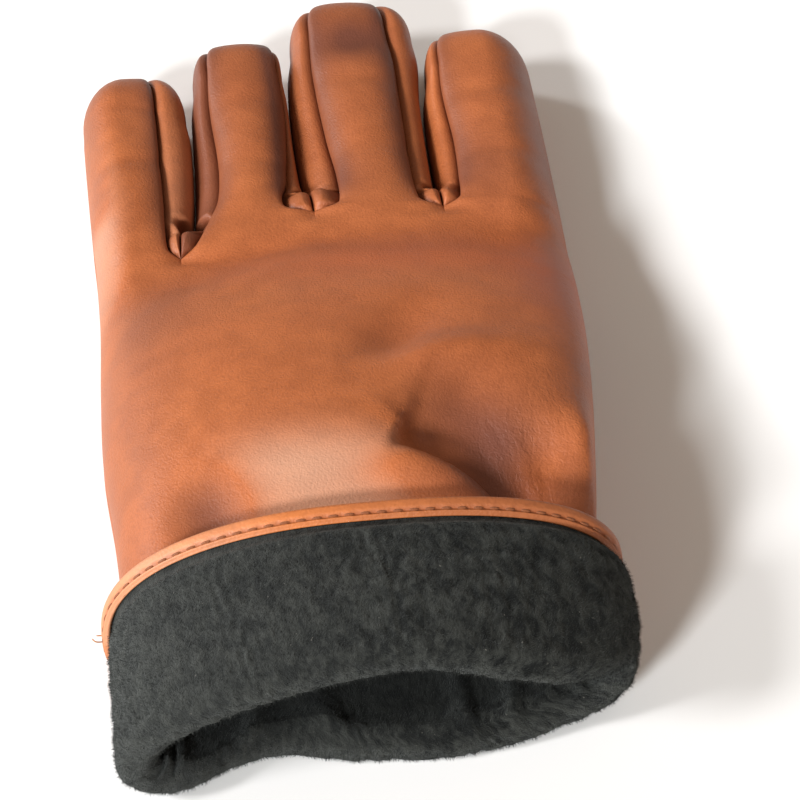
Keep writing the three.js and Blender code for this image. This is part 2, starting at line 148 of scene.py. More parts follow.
def makeCamera():
    view = {"target": (0.01048, -0.02483, 0.020), "distance": 0.65, "turn": 6, "elevation": 45,
            "lens": 150.75, "near": 0.01, "far": 20}
    turn, rise = math.radians(view["turn"]), math.radians(view["elevation"])
    away = Vector((-math.sin(turn) * math.cos(rise), -math.cos(turn) * math.cos(rise), math.sin(rise)))
    camera = newObject("camera", bpy.data.cameras.new("camera"))
    camera.location = Vector(view["target"]) + away * view["distance"]
    camera.data.lens = view["lens"]
    camera.data.clip_start, camera.data.clip_end = view["near"], view["far"]
    aim(camera, view["target"])
    bpy.context.scene.camera = camera


# the azimuth says where a light comes from: 0 is the camera's side, -90 the left
suns = {
    "window": {"azimuth": -32, "elevation": 28, "spread": 9, "strength": 3.3, "colour": (0.93, 0.97, 1.0)},
    "room": {"azimuth": -68, "elevation": 36, "spread": 12, "strength": 2.1, "colour": (0.98, 0.98, 1)},
    "backWindow": {"azimuth": -118, "elevation": 23, "spread": 12, "strength": 1.45,
                   "colour": (0.94, 0.97, 1)},
    "ceiling": {"azimuth": 12, "elevation": 62, "spread": 20, "strength": 0.35, "colour": (1, 0.97, 0.94)},
}


def makeSun(name):
    sun = suns[name]
    turn, rise = math.radians(sun["azimuth"]), math.radians(sun["elevation"])
    lamp = bpy.data.lights.new(name, "SUN")
    lamp.energy, lamp.angle, lamp.color = sun["strength"], math.radians(sun["spread"]), sun["colour"]
    made = newObject(name, lamp)
    made.location = (math.sin(turn) * math.cos(rise), -math.cos(turn) * math.cos(rise), math.sin(rise))
    aim(made, (0, 0, 0))


def makeStage():
    stage = {"side": 6.0, "drop": 0.0002, "colour": (0.93, 0.92, 0.90, 1), "roughness": 0.9, "shine": 0.1,
             "fill": (1.0, 0.80, 0.64, 1), "fillStrength": 0.25}
    half = stage["side"] / 2
    mesh = bpy.data.meshes.new("floor")
    mesh.from_pydata([(x, y, -stage["drop"]) for x, y in
                      ((-half, -half), (half, -half), (half, half), (-half, half))], [], [(0, 1, 2, 3)])
    floor = newObject("floor", mesh)
    paper = newMaterial("paleFloor", {"Base Color": stage["colour"], "Roughness": stage["roughness"],
                                      "Specular IOR Level": stage["shine"]})[0]
    mesh.materials.append(paper)
    for name in suns:
        makeSun(name)
    world = bpy.data.worlds.new("world")
    world.use_nodes = True
    sky = world.node_tree.nodes["Background"]
    sky.inputs["Color"].default_value = stage["fill"]
    sky.inputs["Strength"].default_value = stage["fillStrength"]
    bpy.context.scene.world = world
    bpy.context.scene.view_settings.view_transform = "Standard"


# the glove's form: every function takes and gives arrays, in millimetres

def mix(a, b, share):
    return a + (b - a) * share


def ease(share):
    t = np.clip(share, 0, 1)
    return t * t * (3 - 2 * t)


def along(rows, name, y):
    # a column of a table at any place, on a smooth curve through its rows
    places, values = rows["y"], rows[name]
    last = len(places) - 1
    before = np.maximum(np.arange(last + 1) - 1, 0)
    after = np.minimum(np.arange(last + 1) + 1, last)
    slopes = (values[after] - values[before]) / (places[after] - places[before])
    here = np.clip(y, places[0], places[-1])
    i = np.clip(np.searchsorted(places, here) - 1, 0, last - 1)
    span = places[i + 1] - places[i]
    t = (here - places[i]) / span
    start = values[i] * (2 * t**3 - 3 * t**2 + 1) + slopes[i] * span * (t**3 - 2 * t**2 + t)
    return start + values[i + 1] * (3 * t**2 - 2 * t**3) + slopes[i + 1] * span * (t**3 - t**2)


def arch(left, crown, right, share, leftPower, rightPower):
    # half a superellipse; left, crown and right are pairs of x and z
    turn = np.pi * (1 - share)
    onLeft = np.cos(turn) < 0
    power = 2 / np.where(onLeft, leftPower, rightPower)
    reach = np.abs(np.cos(turn)) ** power
    rise = np.abs(np.sin(turn)) ** power
    sideX, sideZ = np.where(onLeft, left[0], right[0]), np.where(onLeft, left[1], right[1])
    return mix(crown[0], sideX, reach), mix(sideZ, crown[1], rise)


def archShare(left, crown, right, x, leftPower, rightPower):
    onLeft = x < crown
    side, power = np.where(onLeft, left, right), np.where(onLeft, leftPower, rightPower)
    turn = np.arccos(np.clip((x - crown) / (side - crown), 0, 1) ** (power / 2)) / np.pi
    return np.where(onLeft, turn, 1 - turn)


# Soft hollows and swellings of the back: an oval's place, half lengths, turn in degrees and height
dents = table("x y long wide turn height", [
    (23, -24, 14, 9, -40, -3.6),
    (26, -12, 12, 8, 20, -1.4),
    (44, -25, 5, 9, 0, 3.4),
    (33, -27, 4, 7, 10, -1.3),
    (36, -41, 6, 6, 0, -1.6),
    (9, 2, 12, 6, 55, -2.6),
    (17, -4, 15, 5, 12, 1.8),
    (-14, 42, 22, 5, 8, -0.8),
    (-29, -41, 7, 9, 0, -2.6),
    (-3, -52, 34, 14, 0, -3.6),
    (7, -34, 9, 6, -25, 1.8),
    (-14, -22, 20, 8, 8, 0.9),
    (40, 46, 12, 5, -8, -0.8),
    (-39, 76, 11, 2.5, 6, -0.4),
    (-38, 95, 9, 2.5, -8, -0.4),
    (-13, 72, 10, 2.5, -6, -0.4),
    (-14, 93, 8, 3, 10, -0.5),
    (12, 74, 10, 3, 5, -0.4),
    (9, 97, 9, 3, -8, -0.5),
    (10, 110, 8, 5, 15, -1.3),
    (38, 70, 9, 2.5, -5, -0.4),
    (37, 92, 9, 3, 8, -0.5),
])


# Creases: the way of each, how deep it is, and how wide on its right and its left
creases = [
    {"way": [(5.6, -25.4), (10.3, -27.4), (14.5, -29.2), (19.2, -31.9), (22.8, -35.8), (25.6, -40.5),
             (27, -52)],
     "depth": 7.0, "right": 3.0, "left": 9.5, "from": 0.7, "to": 1.3},
    {"way": [(9.0, -25.2), (16.5, -19.5), (21.5, -12), (25.0, -4.0)],
     "depth": 2.2, "right": 8.0, "left": 5.5, "from": 1.0, "to": 0},
    {"way": [(24.5, -18.5), (27.5, -30), (29.5, -38), (31, -50)],
     "depth": 0.8, "right": 1.6, "left": 1.6, "from": 0, "to": 1},
    {"way": [(29.5, -20.5), (32.0, -31), (33.0, -38), (34, -50)],
     "depth": 0.7, "right": 1.5, "left": 1.5, "from": 0, "to": 1},
]
creaseForm = {"steps": 80, "reach": 4, "sharp": 1.6, "begins": 2.5, "atFirst": 0.1}


def smoothWay(points):
    # a smooth curve through a few points
    points = np.array(points, float)
    steps = np.concatenate([[0], np.cumsum(np.linalg.norm(np.diff(points, axis=0), axis=1))])
    rows = {"y": steps, "a": points[:, 0], "b": points[:, 1]}
    at = np.linspace(0, steps[-1], creaseForm["steps"])
    return np.stack([along(rows, "a", at), along(rows, "b", at)], -1), at


def creaseAt(x, y):
    height = np.zeros(np.broadcast(x, y).shape)
    x, y = np.broadcast_arrays(x, y)
    for crease in creases:
        way, at = smoothWay(crease["way"])
        reach = creaseForm["reach"] * max(crease["left"], crease["right"])
        near = ((x > way[:, 0].min() - reach) & (x < way[:, 0].max() + reach)
                & (y > way[:, 1].min() - reach) & (y < way[:, 1].max() + reach))
        if not near.any():
            continue
        places = np.stack([x[near], y[near]], -1)
        away = places[:, None, :] - way[None]
        distance = np.linalg.norm(away, axis=2)
        nearest = distance.argmin(1)
        heading = np.gradient(way, axis=0)[nearest]
        off = away[np.arange(len(nearest)), nearest]
        onLeft = heading[:, 0] * off[:, 1] - heading[:, 1] * off[:, 0] > 0
        wide = np.where(onLeft, crease["left"], crease["right"])
        begun = ease(at[nearest] / creaseForm["begins"] + creaseForm["atFirst"])
        strength = mix(crease["from"], crease["to"], at[nearest] / at[-1]) * begun
        profile = 1 / (1 + (distance.min(1) / wide) ** 2) ** creaseForm["sharp"]
        height[near] -= crease["depth"] * strength * profile
    return height


def dentAt(x, y):
    height = creaseAt(x, y)
    for i in range(len(dents["x"])):
        turn = math.radians(dents["turn"][i])
        dx, dy = x - dents["x"][i], y - dents["y"][i]
        lengthwise = (dx * math.cos(turn) + dy * math.sin(turn)) / dents["long"][i]
        sideways = (dy * math.cos(turn) - dx * math.sin(turn)) / dents["wide"][i]
        height = height + dents["height"][i] * np.exp(-(lengthwise**2 + sideways**2))
    return height


# the hollows end at a seam over a share of the width, and begin over some millimetres past a cleft
dentEnd = {"share": 0.1, "pastCleft": 3}


def dentFade(share):
    return ease(np.minimum(share, 1 - share) / dentEnd["share"])


def cleftBeside(finger, edge):
    # the outer sides of the hand have none
    number = finger - 1 if edge == "left" else finger
    return clefts[number] if 0 <= number < 3 else None


def fingerFade(finger, share, y):
    # a finger's hollows end at its seams, and run on over the hand below each cleft
    fade = 1
    for edge, away in (("left", share), ("right", 1 - share)):
        cleft = cleftBeside(finger, edge)
        atEdge = 1 - ease(away / dentEnd["share"])
        if cleft:
            atEdge = atEdge * ease((y - cleft["y"]) / dentEnd["pastCleft"])
        fade = fade * (1 - atEdge)
    return fade


def liftAt(x, y):
    # how far the palm is raised by the thumb under it
    across = ease((x - lift["left"]) / (lift["full"] - lift["left"]))
    up = ease((y - lift["start"]) / (lift["raised"] - lift["start"]))
    down = 1 - ease((y - lift["lowered"]) / (lift["end"] - lift["lowered"]))
    # beside the thumb's tip the palm hangs lower than its seam
    beside = lift["beside"]
    lowered = (beside["share"] * ease((x - beside["x"]) / beside["wide"])
               * ease((y - beside["y"]) / beside["long"]))
    return lift["height"] * across * up * down * (1 - lowered)


def handPoint(side, share, y, inset, dented=True):
    row = lambda name: along(handRows, name, y)
    left = (row("left") + inset, row("leftSeam"))
    right = (row("right") - inset, row("rightSeam"))
    if side == "top":
        crown = (row("crown"), row("top") - inset)
        x, z = arch(left, crown, right, share, row("leftPower"), row("rightPower"))
        return x, (z + dentFade(share) * dentAt(x, y) if dented else z)
    level = lambda height: arch(left, ((left[0] + right[0]) / 2, height), right, share,
                                underPower, underPower)
    flat = row("under") + inset
    return level(flat + liftAt(level(flat)[0], y))


def seamPoint(side, finger, edge, y, inset):
    inwards = inset if edge == "left" else -inset
    cleft = cleftBeside(finger, edge)
    if not cleft:
        return along(handRows, edge, y) + inwards, along(handRows, edge + "Seam", y)
    rows = cleft["right" if edge == "left" else "left"]
    apart = ease((y - cleft["y"]) / cleftShape["web"])
    sunk = inset * (1 - apart) * (-1 if side == "top" else 1)
    # below the cleft the valley between two fingers fills up soon
    filled = cleft["filled"] * ease((cleft["y"] - y) / cleftShape["valley"]) * (side == "top")
    return along(rows, "x", y) + inwards * apart, along(rows, side, y) + sunk + filled


def fingerStart(finger):
    return fingers["tipY"][finger] - fingers["nose"][finger]


def roundOff(finger, x, y, z, turn, inset):
    shrink = np.maximum(np.cos(turn), 0)
    return np.stack(np.broadcast_arrays(
        mix(fingers["tipX"][finger], x, shrink ** fingers["narrow"][finger]),
        y + (fingers["nose"][finger] - inset) * np.sin(turn) ** fingers["forward"][finger],
        mix(fingers["tipZ"][finger], z, shrink ** noseLower)), -1)


def fingerPoint(side, finger, share, y, turn, inset):
    left = seamPoint(side, finger, "left", y, inset)
    right = seamPoint(side, finger, "right", y, inset)
    x = (left[0] + right[0]) / 2
    length = ease((y - clefts[1]["y"]) / (fingerStart(finger) - clefts[1]["y"]))
    crown = mix(fingers["crown"][finger], fingers["crownEnd"][finger], length) - inset
    z = crown if side == "top" else inset + liftAt(x, y)
    powers = (fingerPower["left"], fingerPower["right"]) if side == "top" else (underPower, underPower)
    across, height = arch(left, (x, z), right, share, *powers)
    # below a cleft the two arches meet level
    for edge, seamEnd, onIt in (("left", left, share < 0.5), ("right", right, share >= 0.5)):
        cleft = cleftBeside(finger, edge)
        if cleft:
            level = mix(z, seamEnd[1], ease((across - x) / (seamEnd[0] - x)))
            below = ease((cleft["y"] - y) / cleftShape["level"])
            height = np.where(onIt, mix(height, level, below), height)
    if side == "top":
        height = height + fingerFade(finger, share, y) * dentAt(across, y + 0 * across)
    return roundOff(finger, across, y, height, turn, inset)


def seamStart(finger, edge, outer):
    cleft = cleftBeside(finger, edge)
    return cleft["y"] if cleft else outer


def fingersEdge(finger, share):
    # where a finger begins, across its width
    left, right = (seamStart(finger, edge, outerStart[edge]) for edge in ("left", "right"))
    return mix(left, right, ease(ease(share)))


def acrossHand(side, finger, share):
    # the share of the hand's width from which a column of a finger runs on
    y = fingersEdge(finger, share)
    x = fingerPoint(side, finger, share, y, 0, 0)[..., 0]
    row = lambda name: along(handRows, name, y)
    crown = row("crown") if side == "top" else (row("left") + row("right")) / 2
    powers = (row("leftPower"), row("rightPower")) if side == "top" else (underPower, underPower)
    return archShare(row("left"), crown, row("right"), x, *powers)


def aroundHand(side, finger, share):
    half = acrossHand(side, finger, share) / 2
    return half if side == "top" else 1 - half


def shellPoints(side, finger, share, step, inset):
    # steps 0 to 1 run up the hand, 1 to 2 along a finger and 2 to 3 round its tip
    share, step = share[None, :], step[:, None]
    edge = fingersEdge(finger, share)
    yFinger = mix(edge, fingerStart(finger), np.clip(step - 1, 0, 1))
    digit = fingerPoint(side, finger, share, yFinger, np.pi / 2 * np.clip(step - 2, 0, 1), inset)
    mouth = along(rimRows, "mouth", aroundHand(side, finger, share))
    y = mix(mouth, edge, np.clip(step, 0, 1))
    x, z = handPoint(side, acrossHand(side, finger, share), y, inset)
    near = fingerPoint(side, finger, share, np.minimum(y, edge), 0, inset)
    # a finger's arch runs out over the hand
    reached = ease((y - edge + cleftShape["runOut"]) / cleftShape["runOut"])
    onHand = mix(np.stack([x, y, z], -1), near, reached[..., None])
    onHand[..., 1] = y
    return np.where((step > 1)[..., None], digit, onHand)


# Seams: both sheets turn down into a groove, along the same way to the same root
seam = {"depth": 1.9, "panelRoll": 2.4, "stripRoll": 1.8, "start": 3.0, "inwards": 0.62, "down": 0.78,
        "tipFade": 0.4}


def seamRoot(side, finger, edge, y, turn):
    # from a seam's place on the surface to the bottom of its groove
    inwards = 1.0 if edge == "left" else -1.0
    fade = np.maximum(np.cos(turn), 0) ** seam["tipFade"]
    cleft = cleftBeside(finger, edge)
    if not cleft:
        return np.stack([inwards * seam["depth"] * fade, 0 * y, 0 * y], -1)
    strength = seam["depth"] * fade * ease((y - cleft["y"]) / seam["start"])
    down = -1 if side == "top" else 1
    return np.stack([inwards * seam["inwards"] * strength, 0 * y, down * seam["down"] * strength], -1)


def rolled(points, root, roll, fromStart):
    # draws the columns nearest one edge of a grid down to the root, on a quarter circle
    ordered = points if fromStart else points[:, ::-1]
    steps = np.linalg.norm(np.diff(ordered, axis=1), axis=2)
    distance = np.concatenate([np.zeros((len(points), 1)), np.cumsum(steps, axis=1)], axis=1)
    share = np.clip(1 - distance / roll, 0, 1)
    amount = 1 - np.sqrt(np.maximum(1 - share**2, 0))
    moved = ordered + root[:, None, :] * amount[..., None]
    return (moved if fromStart else moved[:, ::-1]), (amount if fromStart else amount[:, ::-1])


def crotchDimples(points):
    # both sheets sink together round the bottom of each cleft
    sunk = points.copy()
    for cleft in clefts:
        away = ((points[..., 0] - cleft["x"]) ** 2 + (points[..., 1] - cleft["y"]) ** 2)
        above = np.clip((points[..., 2] - cleftShape["dimpleFloor"]) / cleftShape["dimpleRise"], 0, 1)
        sunk[..., 2] -= above * cleftShape["dimple"] * np.exp(-away / cleftShape["dimpleWide"] ** 2)
    return sunk


# meshes

def toMetres(points):
    placed = points - np.array([middle["x"], middle["y"], 0])
    placed[..., 2] = np.maximum(placed[..., 2], 0)
    return placed * mm


def gridFaces(rows, width, first, wrap=False):
    faces = []
    for i in range(rows - 1):
        for j in range(width if wrap else width - 1):
            a, b = first + i * width + j, first + i * width + (j + 1) % width
            faces.append((a, b, b + width, a + width))
    return faces


mergeWithin = 0.002
tipHalfWidth = 4


def setValues(mesh, name, values):
    kind, field = ("FLOAT_VECTOR", "vector") if values.ndim > 1 else ("FLOAT", "value")
    mesh.attributes.new(name, kind, "POINT").data.foreach_set(field, values.ravel())


def meshPiece(name, grids, wrap=False, flip=False, keep=None):
    # grids are pairs of points (rows, columns, 3) and a dictionary of values for their vertices
    points, faces, values, first = [], [], {}, 0
    for grid, marks in grids:
        rows, width = grid.shape[:2]
        made = gridFaces(rows, width, first, wrap)
        if keep is not None:
            flat = grid.reshape(-1, 3)
            made = [face for face in made if keep(flat[np.array(face) - first].mean(0))]
        faces += made
        points.append(grid.reshape(-1, 3))
        for key, value in marks.items():
            values.setdefault(key, []).append(np.broadcast_to(value, (rows, width)).reshape(-1))
        first += rows * width
    mesh = bpy.data.meshes.new(name)
    mesh.from_pydata(toMetres(np.concatenate(points)), [],
                     [face[::-1] for face in faces] if flip else faces)
    for key, value in values.items():
        setValues(mesh, key, np.concatenate(value))
    body = bmesh.new()
    body.from_mesh(mesh)
    bmesh.ops.remove_doubles(body, verts=body.verts, dist=mergeWithin * mm)
    bmesh.ops.delete(body, geom=[v for v in body.verts if not v.link_faces], context="VERTS")
    body.to_mesh(mesh)
    body.free()
    mesh.shade_smooth()
    return newObject(name, mesh)


def baked(made):
    # turns a piece and its modifiers into a plain mesh
    depsgraph = bpy.context.evaluated_depsgraph_get()
    mesh = bpy.data.meshes.new_from_object(made.evaluated_get(depsgraph))
    made.modifiers.clear()
    made.data = mesh
    mesh.name = made.name
    return made


def thickened(made, thickness, tips=()):
    wall = made.modifiers.new("wall", "SOLIDIFY")
    wall.thickness, wall.offset = thickness * mm, -1
    baked(made)
    # at a fingertip the wall's inside stays behind its outside
    for vertex in made.data.vertices:
        for finger in tips:
            x = (fingers["tipX"][finger] - middle["x"]) * mm
            end = (fingers["tipY"][finger] - middle["y"]) * mm
            if abs(vertex.co.x - x) < tipHalfWidth * mm and vertex.co.y > end:
                vertex.co.y = end
    return made


def finishPiece(made, material, node):
    made.data.materials.clear()
    made.data.materials.append(material)
    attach(made, "root")
    if node:
        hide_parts(node)
    return made


def finerAtEnds(count, pull):
    even = np.linspace(0, 1, count + 1)
    return mix(even, (1 - np.cos(np.pi * even)) / 2, pull)


# materials

def node(tree, kind, inputs=None, **settings):
    made = tree.nodes.new(kind)
    for key, value in settings.items():
        setattr(made, key, value)
    for key, value in (inputs or {}).items():
        if isinstance(value, bpy.types.NodeSocket):
            tree.links.new(value, made.inputs[key])
        else:
            made.inputs[key].default_value = value
    return made


def calculate(tree, operation, *values):
    return node(tree, "ShaderNodeMath", dict(enumerate(values)), operation=operation).outputs[0]


def vectorMath(tree, operation, *values):
    return node(tree, "ShaderNodeVectorMath", dict(enumerate(values)), operation=operation).outputs[0]


def mixColour(tree, share, a, b):
    return node(tree, "ShaderNodeMix", {0: share, 6: a, 7: b}, data_type="RGBA").outputs[2]


def attribute(tree, name, output="Fac"):
    return node(tree, "ShaderNodeAttribute", attribute_name=name).outputs[output]


def noise(tree, place, scale, detail, output="Fac", **more):
    inputs = {"Vector": place, "Scale": scale, "Detail": detail, **more}
    return node(tree, "ShaderNodeTexNoise", inputs).outputs[output]


def mapped(tree, place, **inputs):
    return node(tree, "ShaderNodeMapping", {"Vector": place, **inputs}).outputs[0]


def ramp(tree, value, stops):
    made = node(tree, "ShaderNodeValToRGB", {"Fac": value})
    elements = made.color_ramp.elements
    while len(elements) < len(stops):
        elements.new(0.5)
    for element, (at, grey) in zip(elements, stops):
        element.position, element.color = at, (grey, grey, grey, 1)
    return made.outputs["Color"]


def newGroup(treeKind, name, inputs, outputs):
    # a group of nodes; gives it with the sockets of its inputs and its outputs
    group = bpy.data.node_groups.new(name, treeKind)
    for socket, kind, value in inputs:
        made = group.interface.new_socket(socket, in_out="INPUT", socket_type="NodeSocket" + kind)
        if value is not None:
            made.default_value = value
    for socket, kind in outputs:
        group.interface.new_socket(socket, in_out="OUTPUT", socket_type="NodeSocket" + kind)
    return group, group.nodes.new("NodeGroupInput").outputs, group.nodes.new("NodeGroupOutput").inputs


# how far the grain is warped, and how strongly each part shows in the relief and the roughness
grain = {"warp": 0.9, "cells": -1.0, "tiny": 0.7, "folds": 3.2, "lines": 0.9, "roughClouds": 0.16,
         "roughPebble": -0.05}


def leatherGroup():
    # pebbled grain, fine creases, the tan's uneven colour and its painted light and shade, at real size on
    # Object coordinates
    group, given, out = newGroup("ShaderNodeTree", "leatherSkin", [
        ("Tint", "Color", (0.43, 0.121, 0.0375, 1)), ("Deep", "Color", (0.168, 0.041, 0.014, 1)),
        ("Worn", "Color", (0.48, 0.148, 0.046, 1)), ("PaintedDark", "Color", (0.145, 0.045, 0.025, 1)),
        ("PaintedHighlight", "Color", (0.68, 0.44, 0.31, 1)), ("RichShade", "Color", (0.40, 0.066, 0.010, 1)),
        ("Pebble", "Float", 0.46), ("Relief", "Float", 1.0), ("Roughness", "Float", 0.42),
    ], [("Color", "Color"), ("Roughness", "Float"), ("Height", "Float")])
    place = node(group, "ShaderNodeTexCoord").outputs["Object"]
    inMm = vectorMath(group, "MULTIPLY", place, (1000, 1000, 1000))
    warp = noise(group, inMm, scale=0.9, detail=2.0, output="Color")
    warped = vectorMath(group, "MULTIPLY_ADD", warp, (grain["warp"], grain["warp"], grain["warp"]), inMm)
    cells = node(group, "ShaderNodeTexVoronoi", {
        "Vector": warped, "Scale": calculate(group, "DIVIDE", 1.0, given["Pebble"]), "Randomness": 0.9},
        feature="SMOOTH_F1").outputs["Distance"]
    tiny = calculate(group, "MULTIPLY", noise(group, inMm, scale=3.4, detail=2.0), grain["tiny"])
    pebble = calculate(group, "MULTIPLY_ADD", cells, grain["cells"], tiny)
    patches = noise(group, inMm, scale=0.045, detail=3.0)
    clouds = noise(group, inMm, scale=0.16, detail=3.0)
    # wrinkles where the leather is crumpled, and fine lines everywhere
    stretched = mapped(group, warped, Rotation=(0, 0, 0.5), Scale=(0.75, 0.28, 0.5))
    wrinkles = noise(group, stretched, scale=1.0, detail=3.0, Distortion=0.8)
    crossed = mapped(group, warped, Scale=(0.10, 0.75, 0.3))
    lines = noise(group, crossed, scale=1.0, detail=2.0, Distortion=0.6)
    lines = calculate(group, "ABSOLUTE", calculate(group, "SUBTRACT", lines, 0.5))
    fineLines = calculate(group, "MULTIPLY", lines, grain["lines"])
    crumple = calculate(group, "MULTIPLY", attribute(group, "crumple"), grain["folds"])
    folds = calculate(group, "MULTIPLY", crumple, wrinkles)
    height = calculate(group, "ADD", calculate(group, "MULTIPLY", pebble, given["Relief"]), folds)
    group.links.new(calculate(group, "ADD", height, fineLines), out["Height"])
    # the colour: darker grain hollows and random patches, then painted light: painted shade that deepens
    # the tan in a few spots, painted highlights and painted shade from the shading value, and painted shade
    # from the groove value in the seams' grooves, the strips' depths and the stitches' pits
    paintedLightShade = attribute(group, "paintedLightShade")
    colour = given["Tint"]
    for share, over in (
            (ramp(group, cells, [(0.35, 0.0), (0.8, 0.30)]), "Deep"),
            (ramp(group, patches, [(0.38, 0.0), (0.68, 0.35)]), "Worn"),
            (ramp(group, clouds, [(0.40, 0.22), (0.62, 0.0)]), "Deep"),
            (attribute(group, "richShade"), "RichShade"),
            (calculate(group, "MAXIMUM", paintedLightShade, 0.0), "PaintedHighlight"),
            (calculate(group, "MAXIMUM", calculate(group, "MULTIPLY", paintedLightShade, -1.0), 0.0), "PaintedDark"),
            (ramp(group, attribute(group, "groove"), [(0.12, 0.0), (0.85, 0.92)]), "Deep")):
        colour = mixColour(group, share, colour, given[over])
    group.links.new(colour, out["Color"])
    rough = calculate(group, "MULTIPLY_ADD", clouds, grain["roughClouds"], given["Roughness"])
    group.links.new(calculate(group, "MULTIPLY_ADD", pebble, grain["roughPebble"], rough),
                    out["Roughness"])
    return group


# what each leather and thread has of its own; the bump is in millimetres
leathers = {
    "tanLeather": {"bump": 0.085, "sheen": 0.0, "coat": 0.04},
    "hemLeather": {
        "Tint": (0.62, 0.190, 0.052, 1), "Deep": (0.26, 0.068, 0.02, 1), "Pebble": 0.6, "Relief": 0.6,
        "bump": 0.10, "sheen": 0.0, "coat": 0.03},
    "threadBrown": {
        "Tint": (0.26, 0.085, 0.03, 1), "Deep": (0.12, 0.035, 0.015, 1), "Worn": (0.3, 0.1, 0.04, 1),
        "Pebble": 0.3, "bump": 0.05, "sheen": 0.1, "coat": 0.0},
    "threadTan": {
        "Tint": (0.50, 0.20, 0.06, 1), "Deep": (0.2, 0.07, 0.02, 1), "Worn": (0.6, 0.3, 0.1, 1),
        "Pebble": 0.3, "bump": 0.03, "sheen": 0.1, "coat": 0.0},
}


def leatherMaterial(name, group):
    own = leathers[name]
    made, surface = newMaterial(name, {
        "Specular IOR Level": 0.36, "Sheen Weight": own["sheen"], "Sheen Roughness": 0.45,
        "Sheen Tint": (1.0, 0.86, 0.80, 1), "Coat Weight": own["coat"], "Coat Roughness": 0.42})
    tree = made.node_tree
    changed = {key: own[key] for key in ("Tint", "Deep", "Worn", "Pebble", "Relief") if key in own}
    skin = node(tree, "ShaderNodeGroup", changed, node_tree=group)
    bump = node(tree, "ShaderNodeBump", {"Height": skin.outputs["Height"], "Strength": 1.0,
                                         "Distance": own["bump"] * mm})
    tree.links.new(skin.outputs["Color"], surface.inputs["Base Color"])
    tree.links.new(skin.outputs["Roughness"], surface.inputs["Roughness"])
    tree.links.new(bump.outputs["Normal"], surface.inputs["Normal"])
    return made


# the fleece's colours, where painted light falls on it towards the left, in metres across the glove, and
# how dark the painted shade inside the mouth is
fleece = {"deep": (0.0012, 0.0014, 0.0014, 1), "tuft": (0.029, 0.030, 0.0262, 1),
          "lint": (0.16, 0.15, 0.13, 1), "paintedLeftLight": (0.052, 0.055, 0.052, 1),
          "inside": (0.003, 0.0032, 0.0032, 1), "paintedLeftLightFrom": -0.052, "paintedLeftLightTo": 0.02, "paintedLeftLightMost": 0.46,
          "insideShade": 0.58, "insideLeftShade": 0.6, "fuzz": 0.35, "blotches": 0.45, "bump": 0.8}


def fleeceMaterial():
    made, surface = newMaterial("charcoalFleece", {
        "Roughness": 0.95, "Specular IOR Level": 0.1, "Sheen Weight": 0.17, "Sheen Roughness": 0.6,
        "Sheen Tint": (0.55, 0.58, 0.55, 1)})
    tree = made.node_tree
    nap = attribute(tree, "nap", "Vector")
    slubs = mapped(tree, nap, Scale=(0.6, 0.6, 0.42))
    tufts = noise(tree, slubs, scale=1.0, detail=4.0, Roughness=0.7)
    fuzz = noise(tree, nap, scale=4.0, detail=3.0)
    height = calculate(tree, "MULTIPLY_ADD", fuzz, fleece["fuzz"], tufts)
    bump = node(tree, "ShaderNodeBump", {"Height": height, "Strength": 1.0,
                                         "Distance": fleece["bump"] * mm})
    patches = noise(tree, nap, scale=0.22, detail=2.0)
    blotches = calculate(tree, "MULTIPLY_ADD", patches, fleece["blotches"], tufts)
    shade = ramp(tree, blotches, [(0.61, 0.0), (0.86, 1.0)])
    colour = mixColour(tree, shade, fleece["deep"], fleece["tuft"])
    lint = ramp(tree, noise(tree, nap, scale=1.6, detail=1.0), [(0.76, 0.0), (0.80, 0.7)])
    colour = mixColour(tree, lint, colour, fleece["lint"])
    # painted light: the nap is paler towards the left; painted shade makes it dark inside the mouth, darker
    # still towards the left
    place = node(tree, "ShaderNodeSeparateXYZ", {0: node(tree, "ShaderNodeTexCoord").outputs["Object"]})
    paintedLeftLight = node(tree, "ShaderNodeMapRange", {
        "Value": place.outputs["X"], "From Min": fleece["paintedLeftLightFrom"], "From Max": fleece["paintedLeftLightTo"],
        "To Min": fleece["paintedLeftLightMost"], "To Max": 0.0}).outputs[0]
    inside = attribute(tree, "inside")
    paintedLeftLightOutside = calculate(tree, "MULTIPLY", paintedLeftLight, calculate(tree, "SUBTRACT", 1.0, inside))
    colour = mixColour(tree, paintedLeftLightOutside, colour, fleece["paintedLeftLight"])
    shade = calculate(tree, "MULTIPLY_ADD", paintedLeftLight, fleece["insideLeftShade"], fleece["insideShade"])
    colour = mixColour(tree, calculate(tree, "MULTIPLY", inside, shade), colour, fleece["inside"])
    tree.links.new(colour, surface.inputs["Base Color"])
    tree.links.new(bump.outputs["Normal"], surface.inputs["Normal"])
    return made


# the back and the palm

